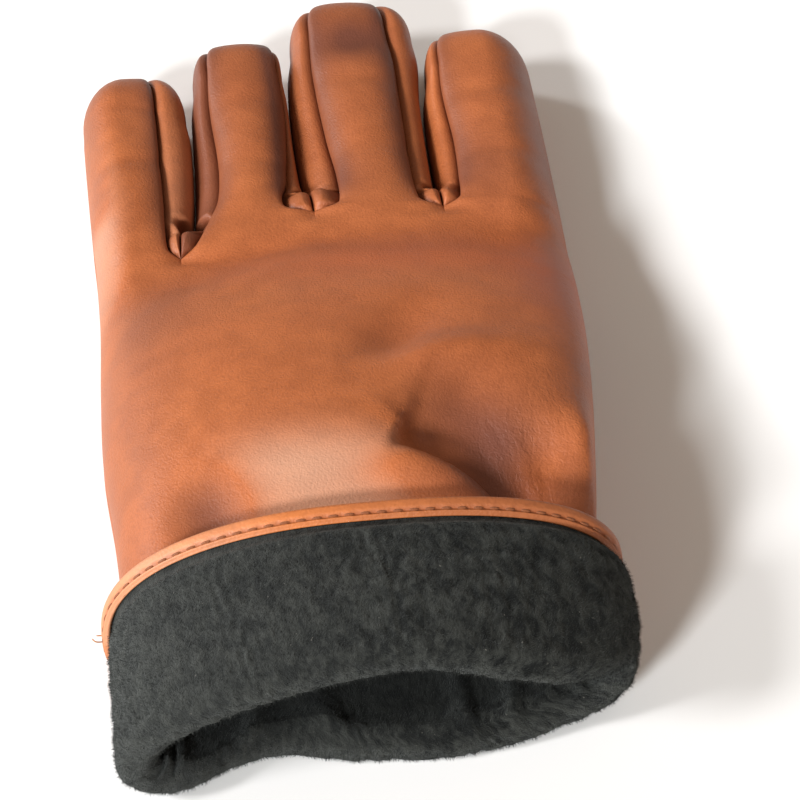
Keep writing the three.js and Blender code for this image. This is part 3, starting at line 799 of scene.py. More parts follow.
panel = {
    "columns": 54, "pull": 0.7, "hiddenRows": 10, "handRows": 112, "fingerRows": 72, "noseRows": 16,
    "hidden": 0.2, "handPull": 0.85, "fingerPull": 1.3, "wall": 1.2, "underCrumple": 0.2,
    "crumpled": table("x y wide tall much", [
        (29, -24, 13, 11, 1.0), (22, -35, 9, 8, 0.6), (-2, 48, 26, 5, 0.25), (-34, -38, 12, 12, 0.15),
        (36, -10, 8, 14, 0.3),
    ]),
    # painted highlights and painted shade: paler where the hand bends down to the hem and on the little
    # finger's left edge, darker on the fingers, in the hollows and the crease, and duller down the hand's
    # left edge
    "paintedLightSpots": table("x y wide tall much", [
        (-12, -33, 20, 8, 0.46), (-4, -43, 24, 5, 0.32), (-43, -10, 8, 36, -0.26), (-46.5, 70, 4, 62, 0.36),
        (-4, 118, 60, 42, -0.30), (10.5, 110, 7, 7, -0.85), (-36, 62, 10, 14, 0.05), (5, 30, 30, 14, 0.04),
        (15, -17, 8, 7, -0.45), (25, -19, 9, 9, -0.47), (25, -27, 9, 8, -0.70), (10, 3, 10, 9, -0.24),
        (24, -40, 9, 10, -0.4), (10, -42, 8, 6, -0.25), (20, -38, 7, 6, -0.5), (4, -35, 7, 4, -0.2),
        (40, -38, 5, 7, -0.45), (38, -14, 8, 12, -0.12), (34, 64, 7, 12, -0.45), (5, 64, 7, 9, -0.35),
        (40, 112, 8, 8, 0.15), (44, -5, 7, 14, -0.2), (-29, -39, 7, 8, -0.95), (-36, 21, 10, 12, -0.4),
        (-20, 112, 10, 10, -0.1), (32, -33, 4, 5, 0.35),
    ]),
    # painted shade: the tan deeper and more saturated across the knuckles, on the hand's right side and in
    # the crease
    "richShadeSpots": table("x y wide tall much", [
        (14, 33, 34, 9, 0.45), (44, 24, 9, 18, 0.5), (24, -38, 9, 9, 0.3)]),
    # painted shade: each finger's right side is darker, and the tan is darker beside the seams
    "shading": {
        "fingers": [0.25, 1.45, 0.45, 0.10], "fromShare": 0.58, "overShare": 0.42, "fromY": 56, "overY": 12,
        "seamShade": 0.45, "seamShadeWide": 2.6, "seamShadeStart": 10, "outerSeams": 54, "palest": 0.9,
        "darkest": -1.6, "sunkFrom": -1, "sunkMost": 0.6},
}


def spotsAt(points, spots):
    # soft spots added up, each with its place, half lengths and strength
    much = np.zeros(points.shape[:-1])
    for i in range(len(spots["x"])):
        dx = (points[..., 0] - spots["x"][i]) / spots["wide"][i]
        dy = (points[..., 1] - spots["y"][i]) / spots["tall"][i]
        much += spots["much"][i] * np.exp(-(dx**2 + dy**2))
    return much


def paintedLightAt(points):
    return np.clip(spotsAt(points, panel["paintedLightSpots"]), panel["shading"]["darkest"], panel["shading"]["palest"])


def panelSteps():
    hidden = np.linspace(0, panel["hidden"], panel["hiddenRows"], endpoint=False)
    evenHand = np.linspace(0, 1, panel["handRows"])
    hand = panel["hidden"] + (1 - panel["hidden"]) * evenHand ** panel["handPull"]
    finger = 1 + np.linspace(0, 1, panel["fingerRows"])[1:] ** panel["fingerPull"]
    tip = 2 + np.linspace(0, 1, panel["noseRows"])[1:]
    return np.concatenate([hidden, hand, finger, tip])


def fingerShade(finger, points, share):
    shading = panel["shading"]
    across = ease((share - shading["fromShare"]) / shading["overShare"])
    onward = ease((points[..., 1] - shading["fromY"]) / shading["overY"])
    shade = shading["fingers"][finger] * across * onward
    for edge, column in (("left", 0), ("right", -1)):
        away = np.abs(points[..., 0] - points[:, column, None, 0])
        start = seamStart(finger, edge, shading["outerSeams"])
        seamShaded = shading["seamShade"] * np.exp(-(away / shading["seamShadeWide"]) ** 2)
        shade = shade + seamShaded * ease((points[..., 1] - start) / shading["seamShadeStart"])
    return shade


def inThumbHole(place):
    return (thumbHole["left"] < place[0] < thumbHole["right"]
            and thumbHole["start"] < place[1] < thumbHole["end"])


def panelGrid(side, finger, steps):
    across = finerAtEnds(panel["columns"], panel["pull"])
    turn = np.pi / 2 * np.clip(steps - 2, 0, 1)
    grid = shellPoints(side, finger, across, steps, 0)
    roots = [seamRoot(side, finger, edge, grid[:, column, 1], turn)
             for edge, column in (("left", 0), ("right", -1))]
    left, sunkLeft = rolled(grid, roots[0], seam["panelRoll"], True)
    both, sunkRight = rolled(left, roots[1], seam["panelRoll"], False)
    # between the fingers the rolls begin past the cleft
    strength = [np.linalg.norm(root, axis=1) / seam["depth"] for root in roots]
    # painted shade in the seams' grooves, as far as the rolls go down
    groove = sunkLeft * strength[0][:, None] + sunkRight * strength[1][:, None]
    if side == "under":
        return both, {"groove": groove, "crumple": panel["underCrumple"], "paintedLightShade": 0, "richShade": 0}
    both = crotchDimples(both)
    # painted highlights and painted shade: the spots, less each finger's shaded right side and seams; the
    # darkest of it also takes the groove's deep colour
    paintedLightShade = paintedLightAt(both) - fingerShade(finger, both, across[None, :])
    sunk = np.clip(panel["shading"]["sunkFrom"] - paintedLightShade, 0, panel["shading"]["sunkMost"])
    return both, {"groove": np.maximum(groove, sunk), "paintedLightShade": np.maximum(paintedLightShade, -1),
                  "crumple": np.clip(spotsAt(both, panel["crumpled"]), 0, 1),
                  "richShade": spotsAt(both, panel["richShadeSpots"])}


def makePanel(name, part, side, leather):
    grids = [panelGrid(side, finger, panelSteps()) for finger in range(4)]
    under = side == "under"
    keep = (lambda place: not inThumbHole(place)) if under else None
    made = meshPiece(name, grids, flip=under, keep=keep)
    return finishPiece(thickened(made, panel["wall"], range(4)), leather, part)


# the fourchettes between the fingers

strip = {
    "down": 40, "pull": 0.6, "rows": 110, "rowPull": 1.3, "noseRows": 18, "leftPower": 2.6,
    "rightPower": 2.0, "webPower": 12, "under": 2.7, "wall": 1.1, "closing": 1.3, "narrowing": 9.0,
    "tipGap": 0.8, "paintedLightShade": 0.5, "webTone": -0.05, "crumple": 0.12,
    # a web's halves are small pillows with the pair's seam between them, and the hole has a rim
    "pillow": {"height": 1.3, "middle": 0.45, "half": 0.6, "start": 1.5, "end": 1.6, "seamWide": 0.5,
               "rim": 0.3, "rimBehind": 1.8, "rimWide": 1.3},
    # painted shade: the strips darken with their depth under the seams, and sooner in the hole
    "deepening": {"left": 3.2, "right": 2.2, "over": 4, "most": 0.95, "hole": 0.7, "holeOver": 1.5,
                  "holeStart": 1.2, "holeEnd": 2},
    # where each pair's closed web ends, how wide the hole behind it opens towards either seam, and how much
    # its strips are painted lighter or darker
    "webs": [
        {"end": 7.4, "hole": 7.0, "left": 1.8, "right": 3.6, "step": 0.3, "leftEase": 6.0,
         "rightEase": 1.6, "gap": 0.15, "leftTone": 0.12, "rightTone": -0.70},
        {"end": 7.6, "hole": 2.6, "left": 1.9, "right": 0.3, "step": 0.8, "leftEase": 1.6,
         "rightEase": 1.6, "gap": 0.15, "leftTone": -0.05, "rightTone": -0.12},
        {"end": 6.4, "hole": 3.2, "left": 1.9, "right": 0.4, "step": 0.3, "leftEase": 1.6,
         "rightEase": 4.0, "gap": 0.35, "leftTone": -0.05, "rightTone": 0.05}],
}


def fourchetteGrid(number, edge):
    cleft, web = clefts[number], strip["webs"][number]
    pillow, deepening = strip["pillow"], strip["deepening"]
    finger = number if edge == "left" else number + 1
    step = np.concatenate([np.linspace(0, 1, strip["rows"]) ** strip["rowPull"],
                           1 + np.linspace(0, 1, strip["noseRows"])[1:]])[:, None]
    down = finerAtEnds(strip["down"], strip["pull"])[None, :]
    start = fingerStart(finger)
    y = mix(cleft["y"], start, np.minimum(step, 1))
    turn = np.pi / 2 * np.maximum(step - 1, 0)
    inwards = -1 if edge == "left" else 1
    rows = cleft[edge]
    seamX, top, under = along(rows, "x", y), along(rows, "top", y), along(rows, "under", y)
    # sewn together over the web, then a hole, then a dark gap that widens to the tips
    past = y - cleft["y"]
    behind = past - web["end"]
    opened = ease(behind / web[edge + "Ease"])
    closing = ease((behind - web["hole"]) / strip["closing"])
    apart = (web["gap"] * opened + web[edge] * opened * (1 - closing)
             + strip["tipGap"] * ease((y - start + strip["narrowing"]) / strip["narrowing"]))
    line = along(cleft["line"], "x", y)
    angle = np.pi * down
    above = np.cos(angle) > 0
    power = np.where(above, mix(strip["webPower"], strip[edge + "Power"], opened), strip["under"])
    out = np.sin(angle) ** (2 / power)
    fall = 0.5 - 0.5 * np.sign(np.cos(angle)) * np.abs(np.cos(angle)) ** (2 / power)
    x = mix(seamX, line + inwards * apart, out)
    z = mix(top, under, fall)
    onWeb = ease(past / pillow["start"]) * (1 - ease((behind + pillow["end"] / 2) / pillow["end"]))
    rim = np.exp(-((behind - web["hole"] - pillow["rimBehind"]) / pillow["rimWide"]) ** 2)
    lengthwise = (past / web["end"] - pillow["middle"]) / pillow["half"]
    plump = np.sin(np.pi * np.clip(out, 0, 1)) ** 0.5 * np.sqrt(np.clip(1 - lengthwise**2, 0, 1))
    z = z + above * (onWeb * (pillow["height"] * plump + web["step"] * (inwards > 0))
                     + rim * pillow["rim"] * out ** 0.5)
    grid = roundOff(finger, x, y, z, turn, 0)
    fingerEdge = "right" if edge == "left" else "left"
    groove = 0
    for side, fromStart in (("top", True), ("under", False)):
        column = 0 if fromStart else -1
        root = seamRoot(side, finger, fingerEdge, grid[:, column, 1], turn[:, 0])
        grid, sunk = rolled(grid, root, seam["stripRoll"], fromStart)
        groove = groove + sunk
    sewn = onWeb * ease(1 - np.abs(x - line) / pillow["seamWide"]) * above
    onHole = (ease(behind / deepening["holeStart"])
              * (1 - ease((behind - web["hole"]) / deepening["holeEnd"])))
    deep = np.clip((top - z - deepening[edge]) / deepening["over"], 0, deepening["most"])
    deepHole = np.clip((top - z - deepening["hole"]) / deepening["holeOver"], 0, deepening["most"])
    deep = np.maximum(deep, onHole * deepHole)
    # painted light and shade: part of the back's painted spots, and each strip lighter or darker by its web
    # and side
    paintedLightShade = strip["paintedLightShade"] * paintedLightAt(grid) + web[edge + "Tone"] + strip["webTone"] * onWeb
    return crotchDimples(grid), {"groove": np.clip(groove + deep + sewn, 0, 1), "paintedLightShade": paintedLightShade,
                                 "crumple": strip["crumple"]}


def makeFourchettes(leather):
    for number in range(3):
        for edge, finger, word in (("left", number, "inner"), ("right", number + 1, "outer")):
            name = f"fourchette_{fingerNames[finger]}_{word}"
            made = meshPiece(f"{name}_strip", [fourchetteGrid(number, edge)], flip=edge == "right")
            finishPiece(thickened(made, strip["wall"], [finger]), leather, name)


# the thumb, tucked under the palm

thumb = {"baseX": 29.5, "tipX": 22, "baseY": -33, "tipY": 39, "halfWidth": 14.6, "tipWidth": 11,
         "height": 13.6, "round": 2.8, "sag": 0.3, "rows": 90, "around": 110, "wall": 1.2,
         "seamDeep": 0.9, "seamWide": 1.2, "openAbove": 0.8, "crumple": 0.2}


def makeThumb(leather):
    powered = lambda value: np.sign(value) * np.abs(value) ** (2 / thumb["round"])
    share = np.linspace(0, 1, thumb["rows"])[:, None]
    around = (np.arange(thumb["around"]) / thumb["around"])[None, :]
    turn = around * 2 * np.pi
    plump = powered(np.sin(share * np.pi))
    width = mix(thumb["halfWidth"], thumb["tipWidth"], share)
    # a seam down each side of the thumb, with painted shade in its groove
    fromSeam = np.abs(np.sin(turn)) * thumb["height"] / 2
    sunk = np.clip(1 - fromSeam / thumb["seamWide"], 0, 1) ** 2
    pull = 1 - thumb["seamDeep"] * sunk / width
    x = mix(thumb["baseX"], thumb["tipX"], share) + width * plump * powered(np.cos(turn)) * pull
    half = (thumb["tipY"] - thumb["baseY"]) / 2
    y = thumb["baseY"] + half + half * powered(-np.cos(share * np.pi)) + 0 * turn
    z = (thumb["height"] / 2 - thumb["sag"]
         + thumb["height"] / 2 * plump * powered(np.sin(turn)) + 0 * share)
    grid = np.stack([x, y, z], -1)
    # the top is open where it joins the palm's hole
    closed = lambda place: not (inThumbHole(place) and place[2] > thumb["height"] * thumb["openAbove"])
    marks = {"groove": sunk, "crumple": thumb["crumple"]}
    made = meshPiece("thumb_leather", [(grid, marks)], wrap=True, flip=True, keep=closed)
    finishPiece(thickened(made, thumb["wall"]), leather, "thumb")


# the fleece: a sleeve in the hand, rolled over the shell's edge and laid back over its outside

cuff = {
    "sheetUnder": 1.7, "bandUnder": 0.6, "bandOver": 3.4, "bandWidth": 4.0, "columns": 48, "pull": 0.55,
    "sleeveEnd": 0.64, "sleeveRows": 44, "rollRows": 20, "flapRows": 46,
    # the flap is squeezed flat under the band and swells below it, but not at the cuff's left end
    "flap": {"squeeze": 0.75, "above": 0.3, "pastBand": 0.6, "over": 3.2, "bulge": 0.9,
             "bulgeFrom": 0.3, "flatter": 1.3, "leftWide": 0.05},
    # the sleeve's depth counts its rows from its far end: 1 is at the roll
    "sleeve": {"most": 1.5, "foldsEnd": 1.25, "foldsOver": 0.3, "insideEnd": 1.02, "insideOver": 0.12},
    # soft folds along the palm's side of the sleeve
    "folds": {"lean": 0.02, "leanAt": 0.9, "turns": 40, "behind": 0.6,
              "rows": table("around wide height", [
                  (0.585, 0.009, 2.2), (0.635, 0.008, 2.1), (0.675, 0.009, 2.5), (0.715, 0.007, 1.9),
                  (0.762, 0.008, 2.3), (0.81, 0.011, 1.5), (0.90, 0.008, 2.0), (0.935, 0.008, 1.8)])},
    # small ripples round the left end of the opening, by share of the way round and by depth
    "ripples": {"around": 0.035, "wide": 0.035, "turns": 34, "height": 0.55, "from": 0.5, "over": 0.2,
                "along": (0.5, 0, 0.8)},
    # under the back's crease the sleeve hangs clear of the leather
    "slack": {"x": 26, "wide": 8, "y": -50, "long": 13, "drop": 3.2, "above": 14, "over": 8},
    # the cuff is drawn in a little at its left end
    "drawnIn": {"much": 0.5, "x": -38, "wide": 10, "y": -49, "long": 6},
    # the nap stands in small clumps, and stops short of the hem
    "clumps": {"height": 0.26, "size": 2.4, "stretch": (1, 1, 0.8), "seed": 5, "waves": 14,
               "shortest": 0.6, "longest": 1.5, "soft": 2.6, "start": -1.2, "end": 0.80,
               "endOver": 0.02},
}


def roundTheHand(columns, pull):
    # side, finger and share of each column: over the hand from left to right, then back under it
    share = finerAtEnds(columns, pull)
    over = [("top", finger, share[:-1]) for finger in range(4)]
    under = [("under", finger, share[:0:-1]) for finger in (3, 2, 1, 0)]
    return over + under


def cuffRows(columns, yOf, heightOf):
    # a grid over the shell by height, at any y; it bridges the back's hollows
    parts = []
    for side, finger, share in columns:
        around = aroundHand(side, finger, share)[None, :]
        across = acrossHand(side, finger, share)[None, :]
        y, height = yOf(around), heightOf(around)
        x, z = handPoint(side, across, y, -height, dented=False)
        parts.append(np.stack(np.broadcast_arrays(x, y, z), -1))
    return np.concatenate(parts, axis=1)


def napLumps(points):
    # smooth, seamless lumps between -1 and 1, from a few sine waves in random directions
    clumps = cuff["clumps"]
    draw = np.random.default_rng(clumps["seed"])
    total = np.zeros(points.shape[:-1])
    for _ in range(clumps["waves"]):
        way = draw.normal(size=3)
        way *= (2 * np.pi / clumps["size"] / np.linalg.norm(way)
                * draw.uniform(clumps["shortest"], clumps["longest"]))
        total += np.sin(points @ way + draw.uniform(0, 2 * np.pi))
    return np.tanh(total / clumps["soft"])


def flapHeight(around, share, out):
    flap = cuff["flap"]
    toEdge = (along(rimRows, "hem", around) - along(rimRows, "mouth", around)) * (1 - share)
    free = ease((toEdge - cuff["bandWidth"] + flap["pastBand"]) / flap["over"])
    squeezed = cuff["bandUnder"] + flap["above"] + out * flap["squeeze"]
    flatter = 1 - flap["flatter"] * np.exp(-(np.minimum(around, 1 - around) / flap["leftWide"]) ** 2)
    swollen = cuff["sheetUnder"] + out + flap["bulge"] * ease(share / flap["bulgeFrom"]) * free * flatter
    return mix(squeezed, swollen, free)


def liningSurface(columns, out):
    # the sleeve in the hand, the roll round the shell's edge and the flap over its outside
    steps = np.linspace(cuff["sleeveEnd"] ** 0.5, 0, cuff["sleeveRows"]) ** 2
    inset = layers["leather"] + layers["gap"] + out
    inHand = np.concatenate([shellPoints(side, finger, part, steps, inset)
                             for side, finger, part in columns], axis=1)
    inner = -layers["leather"] - layers["gap"]
    rollMiddle, radius = (inner + cuff["sheetUnder"]) / 2, (cuff["sheetUnder"] - inner) / 2
    rim = lambda around, name: along(rimRows, name, around)
    half = np.linspace(0, np.pi, cuff["rollRows"])[1:, None]
    roll = cuffRows(columns, lambda around: rim(around, "mouth") - (radius + out) * np.sin(half),
                    lambda around: rollMiddle - (radius + out) * np.cos(half))
    share = np.linspace(0, 1, cuff["flapRows"])[1:, None]
    laidBack = cuffRows(columns, lambda around: mix(rim(around, "mouth"), rim(around, "hem"), share),
                        lambda around: flapHeight(around, share, out))
    return np.concatenate([inHand, roll, laidBack], axis=0)


def foldedSleeve(front, back, around, depth):
    # ripples, folds and slack in the sleeve, and the cuff's left end drawn in
    sleeve, folds, ripples = cuff["sleeve"], cuff["folds"], cuff["ripples"]
    inSleeve = ease((sleeve["foldsEnd"] - depth) / sleeve["foldsOver"])
    atLeft = np.exp(-((np.minimum(around, 1 - around) - ripples["around"]) / ripples["wide"]) ** 2)
    rippled = (ripples["height"] * np.sin(depth * ripples["turns"]) * inSleeve
               * ease((depth - ripples["from"]) / ripples["over"]) * (atLeft * (around > 0.5))[None, :])
    front = front + rippled[..., None] * ripples["along"]
    rows = folds["rows"]
    for place, wide, height in zip(rows["around"], rows["wide"], rows["height"]):
        bend = place + folds["lean"] * (depth - folds["leanAt"]) * np.sin(place * folds["turns"])
        swell = (height * np.exp(-((around[None, :] - bend) / wide) ** 2) * inSleeve)[..., None]
        front, back = front + swell * (0, 0, 1), back + swell * (0, 0, folds["behind"])
    slack, drawnIn = cuff["slack"], cuff["drawnIn"]
    for sheet in (front, back):
        close = np.exp(-((sheet[..., 0] - slack["x"]) / slack["wide"]) ** 2
                       - ((sheet[..., 1] - slack["y"]) / slack["long"]) ** 2)
        above = ease((sheet[..., 2] - slack["above"]) / slack["over"])
        sheet[..., 2] -= slack["drop"] * close * inSleeve * above
        sheet[..., 0] += (drawnIn["much"] * ease((drawnIn["x"] - sheet[..., 0]) / drawnIn["wide"])
                          * ease((drawnIn["y"] - sheet[..., 1]) / drawnIn["long"]))
    return front, back


def makeLining():
    columns = roundTheHand(cuff["columns"], cuff["pull"])
    front, back = liningSurface(columns, layers["fleece"]), liningSurface(columns, 0)
    around = np.concatenate([aroundHand(side, finger, part) for side, finger, part in columns])
    sleeve = cuff["sleeve"]
    depth = np.clip(np.arange(len(front)) / cuff["sleeveRows"], 0, sleeve["most"])[:, None]
    front, back = foldedSleeve(front, back, around, depth)
    outwards = (front - back) / np.linalg.norm(front - back, axis=-1, keepdims=True)
    clumps = cuff["clumps"]
    share = np.linspace(0, 1, cuff["flapRows"])[1:]
    pile = np.concatenate([ease(np.linspace(clumps["start"], 1, cuff["sleeveRows"])),
                           np.ones(cuff["rollRows"] - 1),
                           ease((clumps["end"] - share) / clumps["endOver"])])
    lumps = napLumps(fleeceNap(front) * clumps["stretch"])
    standing = clumps["height"] * lumps * ease(pile)[:, None]
    front = front + outwards * standing[..., None]
    # painted shade inside the mouth, from the sleeve's far end to near the roll
    inside = ease((sleeve["insideEnd"] - depth) / sleeve["insideOver"])
    pile, inside = (np.broadcast_to(marks, front.shape[:2]) for marks in (pile[:, None], inside))
    return front, back, pile, inside


def fleeceNap(points):
    # seamless coordinates for the nap: round the hand and along it, in millimetres
    steps = np.linalg.norm(np.diff(points, axis=1, append=points[:, :1]), axis=2)
    around = np.concatenate([np.zeros((len(points), 1)), np.cumsum(steps, axis=1)[:, :-1]], axis=1)
    length = steps.sum(1, keepdims=True)
    radius = length.mean() / (2 * np.pi)
    angle = around / length * 2 * np.pi
    rise = np.linalg.norm(np.diff(points, axis=0, prepend=points[:1]), axis=2)
    onward = np.cumsum(rise, axis=0).mean(1, keepdims=True) + 0 * angle
    return np.stack([radius * np.cos(angle), radius * np.sin(angle), onward], -1)


def closedSheet(name, front, back, pile, inside):
    # a tube of cloth with an inside, an outside and two rims
    rows, width = front.shape[:2]
    count = rows * width
    faces = gridFaces(rows, width, 0, wrap=True)
    faces += [face[::-1] for face in gridFaces(rows, width, count, wrap=True)]
    for row, turned in ((0, True), (rows - 1, False)):
        for j in range(width):
            a, b = row * width + j, row * width + (j + 1) % width
            rim = (a, b, b + count, a + count)
            faces.append(rim if turned else rim[::-1])
    mesh = bpy.data.meshes.new(name)
    points = np.concatenate([front.reshape(-1, 3), back.reshape(-1, 3)])
    mesh.from_pydata(toMetres(points), [], faces)
    nap = fleeceNap(front).reshape(-1, 3)
    setValues(mesh, "nap", np.concatenate([nap, nap]))
    setValues(mesh, "pile", np.concatenate([pile.ravel(), 0 * pile.ravel()]))
    setValues(mesh, "inside", np.concatenate([inside.ravel(), inside.ravel()]))
    body = bmesh.new()
    body.from_mesh(mesh)
    bmesh.ops.recalc_face_normals(body, faces=body.faces)
    body.to_mesh(mesh)
    body.free()
    mesh.shade_smooth()
    return newObject(name, mesh)


# Geometry Nodes: the nap's fibres and the hem's stitches

def newTree(name, inputs):
    return newGroup("GeometryNodeTree", name, [("Geometry", "Geometry", None), *inputs],
                    [("Geometry", "Geometry")])


def grown(name, mesh, tree, values):
    # runs a tree on a mesh and keeps what it makes as a plain mesh piece
    made = newObject(name, mesh)
    grow = made.modifiers.new("grow", "NODES")
    grow.node_group = tree
    sockets = {item.name: item.identifier for item in tree.interface.items_tree if item.in_out == "INPUT"}
    for key, value in values.items():
        grow[sockets[key]] = value
    return baked(made)


def finishTree(tree, made, material, out):
    whole = node(tree, "GeometryNodeRealizeInstances", {"Geometry": made}).outputs[0]
    dressed = node(tree, "GeometryNodeSetMaterial", {"Geometry": whole, "Material": material}).outputs[0]
    tree.links.new(dressed, out["Geometry"])


def pileTree():
    tree, given, out = newTree("fleecePile", [
        ("Fibres per m2", "Float", 5.2e6), ("Length", "Float", 0.0007), ("Thickness", "Float", 0.0001),
        ("Lean", "Float", 1.6), ("Clumps per m", "Float", 430.0), ("Stray", "Float", 0.45),
        ("Shortest", "Float", 0.55), ("Longest", "Float", 1.3), ("Seed", "Int", 11),
        ("Material", "Material", None)])
    # the cloth's own attribute says where fibres grow
    zone = node(tree, "GeometryNodeInputNamedAttribute", {"Name": "pile"}, data_type="FLOAT").outputs[0]
    scatter = node(tree, "GeometryNodeDistributePointsOnFaces", {
        "Mesh": given["Geometry"], "Seed": given["Seed"],
        "Density": calculate(tree, "MULTIPLY", given["Fibres per m2"], zone)})
    fibre = node(tree, "GeometryNodeMeshCone", {
        "Vertices": 3, "Radius Top": 0.0, "Depth": given["Length"],
        "Radius Bottom": calculate(tree, "MULTIPLY", given["Thickness"], 0.5)}, fill_type="NGON")
    # the fibres stand on the cloth, lean in clumps and stray a little
    place = node(tree, "GeometryNodeInputPosition").outputs[0]
    clump = noise(tree, place, scale=given["Clumps per m"], detail=1.0, output="Color")
    pull = vectorMath(tree, "ADD", clump, (-0.5, -0.5, -0.5))
    lean = node(tree, "ShaderNodeVectorMath", {
        0: pull, "Scale": calculate(tree, "MULTIPLY", given["Lean"], 2.0)}, operation="SCALE").outputs[0]
    back = calculate(tree, "MULTIPLY", given["Stray"], -1.0)
    stray = node(tree, "FunctionNodeRandomValue", {0: back, 1: given["Stray"], "Seed": given["Seed"]},
                 data_type="FLOAT_VECTOR").outputs[0]
    heading = vectorMath(tree, "ADD", vectorMath(tree, "ADD", lean, stray), scatter.outputs["Normal"])
    turned = node(tree, "FunctionNodeAlignRotationToVector", {"Vector": heading}, axis="Z").outputs[0]
    size = node(tree, "FunctionNodeRandomValue", {
        2: given["Shortest"], 3: given["Longest"], "Seed": given["Seed"]}, data_type="FLOAT").outputs[1]
    fibres = node(tree, "GeometryNodeInstanceOnPoints", {
        "Points": scatter.outputs["Points"], "Instance": fibre.outputs["Mesh"], "Rotation": turned,
        "Scale": size})
    finishTree(tree, fibres.outputs[0], given["Material"], out)
    return tree


def stitchTree():
    tree, given, out = newTree("hemStitches", [
        ("Stitches", "Int", 100), ("Length", "Float", 0.0018), ("Thread", "Float", 0.00055),
        ("Material", "Material", None)])
    path = node(tree, "GeometryNodeMeshToCurve", {"Mesh": given["Geometry"]}).outputs[0]
    even = node(tree, "GeometryNodeResampleCurve", {"Curve": path, "Count": given["Stitches"]},
                mode="COUNT")
    thread = node(tree, "GeometryNodeMeshUVSphere", {"Segments": 8, "Rings": 6, "Radius": 0.5})
    tangent = node(tree, "GeometryNodeInputTangent").outputs[0]
    turned = node(tree, "FunctionNodeAlignRotationToVector", {"Vector": tangent}, axis="Z").outputs[0]
    shape = node(tree, "ShaderNodeCombineXYZ", {"X": given["Thread"], "Y": given["Thread"],
                                                "Z": given["Length"]}).outputs[0]
    stitches = node(tree, "GeometryNodeInstanceOnPoints", {
        "Points": even.outputs[0], "Instance": thread.outputs["Mesh"], "Rotation": turned, "Scale": shape})
    finishTree(tree, stitches.outputs[0], given["Material"], out)
    return tree


def makePile(lining, material):
    made = grown("fleece_pile", lining.data.copy(), pileTree(), {"Material": material})
    print("fibres", len(made.data.polygons) // 4)
    for vertex in made.data.vertices:
        vertex.co.z = max(vertex.co.z, 0)
    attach(made, "root")
    return made


# the hem: a leather strip folded over the end of the fleece

hem = {"columns": 96, "pull": 0.2, "foldSteps": 16, "overSteps": 20, "underSteps": 5, "wall": 0.8,
       "width": 0.9, "narrow": 0.76, "narrowOver": 0.8, "turnedDown": 1.0, "crumple": 0.1,
       # painted light and shade: paler towards the left and darker towards the right, less so under the
       # cuff
       "toneLeft": 0.28, "toneRight": -0.55, "toneFrom": -52, "toneOver": 95, "toneUnder": 0.4}
# the row of stitches in its groove, with a pit where each goes in; painted shade darkens the groove and the
# pits
stitching = {"in": 2.7, "sink": 0.45, "lie": 0.8, "pitch": 2.9, "pit": 0.22, "grooveWide": 0.62,
             "topFrom": 0.9, "grooveTone": 0.35, "pitTone": 0.4}


def hemSection():
    # one turn round the strip, as places along the cuff and heights over the shell
    top = cuff["bandOver"] + hem["wall"]
    half = (top - cuff["bandUnder"]) / 2
    centre, end = cuff["bandUnder"] + half, layers["gap"] + hem["wall"]
    turn = np.linspace(-np.pi / 2, np.pi / 2, hem["foldSteps"])
    fold = np.stack([end - half + half * np.cos(turn), centre + half * np.sin(turn)], -1)
    onward = np.linspace(end - half, -cuff["bandWidth"], hem["overSteps"])
    drop = ease((-cuff["bandWidth"] + hem["turnedDown"] - onward) / hem["turnedDown"])
    over = np.stack([onward, top - drop], -1)[1:]
    flat = np.linspace(onward[-1], onward[0], hem["underSteps"] + 1)[:-1]
    under = np.stack([flat, cuff["bandUnder"] + 0 * flat], -1)
    section = np.concatenate([under, fold, over])
    onTop = section[:, 1] > centre + half * stitching["topFrom"]
    return section, np.exp(-((section[:, 0] + stitching["in"]) / stitching["grooveWide"]) ** 2) * onTop


def makeHem(leather, thread):
    columns = roundTheHand(hem["columns"], hem["pull"])
    edge = lambda around: along(rimRows, "hem", around)
    # the strip is narrower towards the glove's left side
    narrowed = lambda around: mix(hem["narrow"], 1, ease(
        (1 - np.abs(2 * around - 1)) / hem["narrowOver"])) * hem["width"]
    height = cuff["bandOver"] + hem["wall"] - stitching["sink"] * stitching["lie"]
    row = cuffRows(columns, lambda around: edge(around) - stitching["in"] * narrowed(around),
                   lambda around: height + 0 * around)[0]
    steps = np.linalg.norm(np.roll(row, -1, 0) - row, axis=1)
    count = round(steps.sum() / stitching["pitch"])
    phase = np.concatenate([[0], np.cumsum(steps)[:-1]]) / steps.sum() * count * 2 * np.pi
    pits = (0.5 - 0.5 * np.cos(phase))[None, :]
    section, groove = hemSection()
    outer, raised = (cuffRows(columns, lambda around: edge(around) + section[:, :1] * narrowed(around),
                              lambda around: section[:, 1:] + up + 0 * around) for up in (0, 1))
    sunk = groove[:, None] * (stitching["sink"] + stitching["pit"] * pits)
    outer = outer - (raised - outer) * sunk[..., None]
    # painted light and shade along the hem, and painted shade in the stitches' groove and pits
    across = ease((row[:, 0] - hem["toneFrom"]) / hem["toneOver"])
    below = np.where(np.arange(len(row)) < len(row) / 2, 1, hem["toneUnder"])
    marks = {"groove": groove[:, None] * (stitching["grooveTone"] + stitching["pitTone"] * pits),
             "crumple": hem["crumple"],
             "paintedLightShade": (mix(hem["toneLeft"], hem["toneRight"], across) * below)[None, :]}
    made = meshPiece("hem_strip", [(outer, marks)], wrap=True, flip=True)
    finishPiece(thickened(made, hem["wall"]), leather, "hem_band")
    path = bpy.data.meshes.new("stitchPath")
    path.from_pydata(toMetres(row), [(i, (i + 1) % len(row)) for i in range(len(row))], [])
    stitches = grown("hem_stitches", path, stitchTree(), {"Stitches": count, "Material": thread})
    finishPiece(stitches, thread, None)


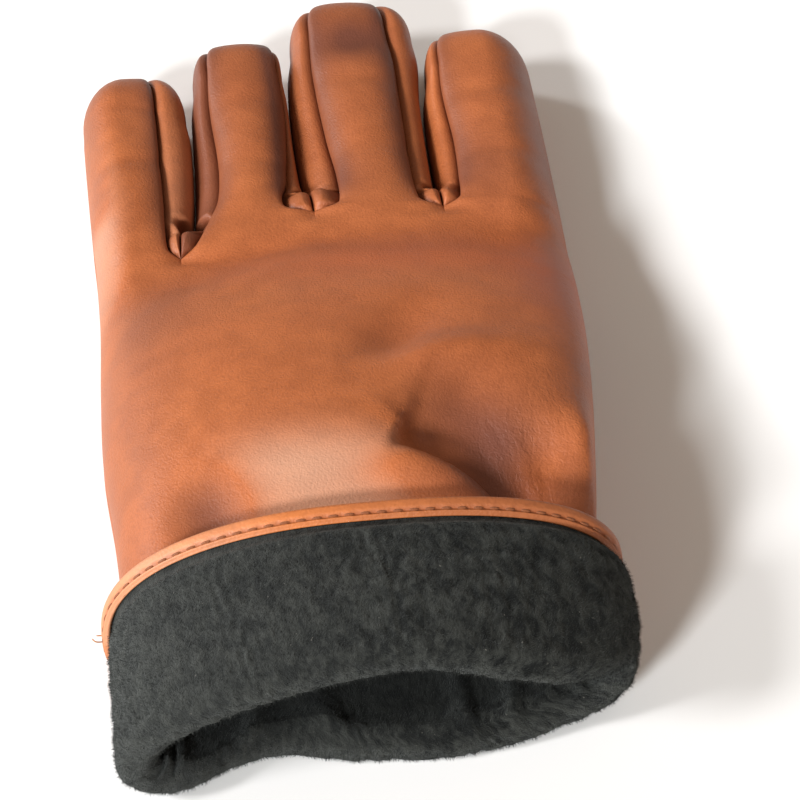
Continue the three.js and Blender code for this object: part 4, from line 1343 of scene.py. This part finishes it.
# a few loose ends of thread where the hem was sewn off
threadEnds = {"radius": 0.13, "sides": 6, "steps": 40, "point": 3, "ways": [
    [(-48.2, -50.4, 16.6), (-49.2, -51.2, 16.6), (-50.4, -50.9, 16.0), (-51.9, -51.2, 16.4)],
    [(-48.4, -50.7, 16.0), (-49.5, -51.8, 15.2), (-50.4, -51.4, 14.8), (-51.8, -51.8, 15.4),
     (-52.6, -51.2, 15.8)],
    [(-48.6, -51.0, 15.4), (-49.5, -52.2, 14.6), (-49.0, -53.4, 13.8), (-49.8, -54.2, 13.2)],
    [(-48.4, -50.6, 16.2), (-49.3, -50.8, 17.0), (-49.9, -51.9, 16.8), (-49.2, -53.0, 15.8)],
]}


def makeThreadEnds(thread):
    grids = []
    for way in threadEnds["ways"]:
        points = np.array(way, float)
        rows = {"y": np.arange(len(points)), "a": points[:, 0], "b": points[:, 1], "c": points[:, 2]}
        at = np.linspace(0, len(points) - 1, threadEnds["steps"])
        line = np.stack([along(rows, key, at) for key in "abc"], -1)
        ahead = np.gradient(line, axis=0)
        ahead /= np.linalg.norm(ahead, axis=1, keepdims=True)
        sideways = np.cross(ahead, (0, 0, 1))
        sideways /= np.linalg.norm(sideways, axis=1, keepdims=True)
        upwards = np.cross(sideways, ahead)
        turn = (np.arange(threadEnds["sides"]) / threadEnds["sides"] * 2 * np.pi)[None, :, None]
        size = threadEnds["radius"] * np.minimum(1, (at[-1] - at) * threadEnds["point"])[:, None, None]
        ring = np.cos(turn) * sideways[:, None] + np.sin(turn) * upwards[:, None]
        grids.append((line[:, None] + size * ring, {"groove": 0}))
    made = meshPiece("loose_threads", grids, wrap=True)
    finishPiece(made, thread, None)


print("stage: camera, floor and lights")
makeCamera()
makeStage()
print("stage: materials")
skin = leatherGroup()
tanLeather, hemLeather, threadBrown, threadTan = (leatherMaterial(name, skin) for name in leathers)
fleeceCloth = fleeceMaterial()
print("stage: leather panels")
makePanel("back_leather", "back_panel", "top", tanLeather)
makePanel("palm_leather", "palm_panel", "under", tanLeather)
makeFourchettes(tanLeather)
makeThumb(tanLeather)
print("stage: fleece and hem")
lining = closedSheet("fleece_sheet", *makeLining())
finishPiece(lining, fleeceCloth, "fleece_lining")
pile = makePile(lining, fleeceCloth)
makeHem(hemLeather, threadBrown)
makeThreadEnds(threadTan)
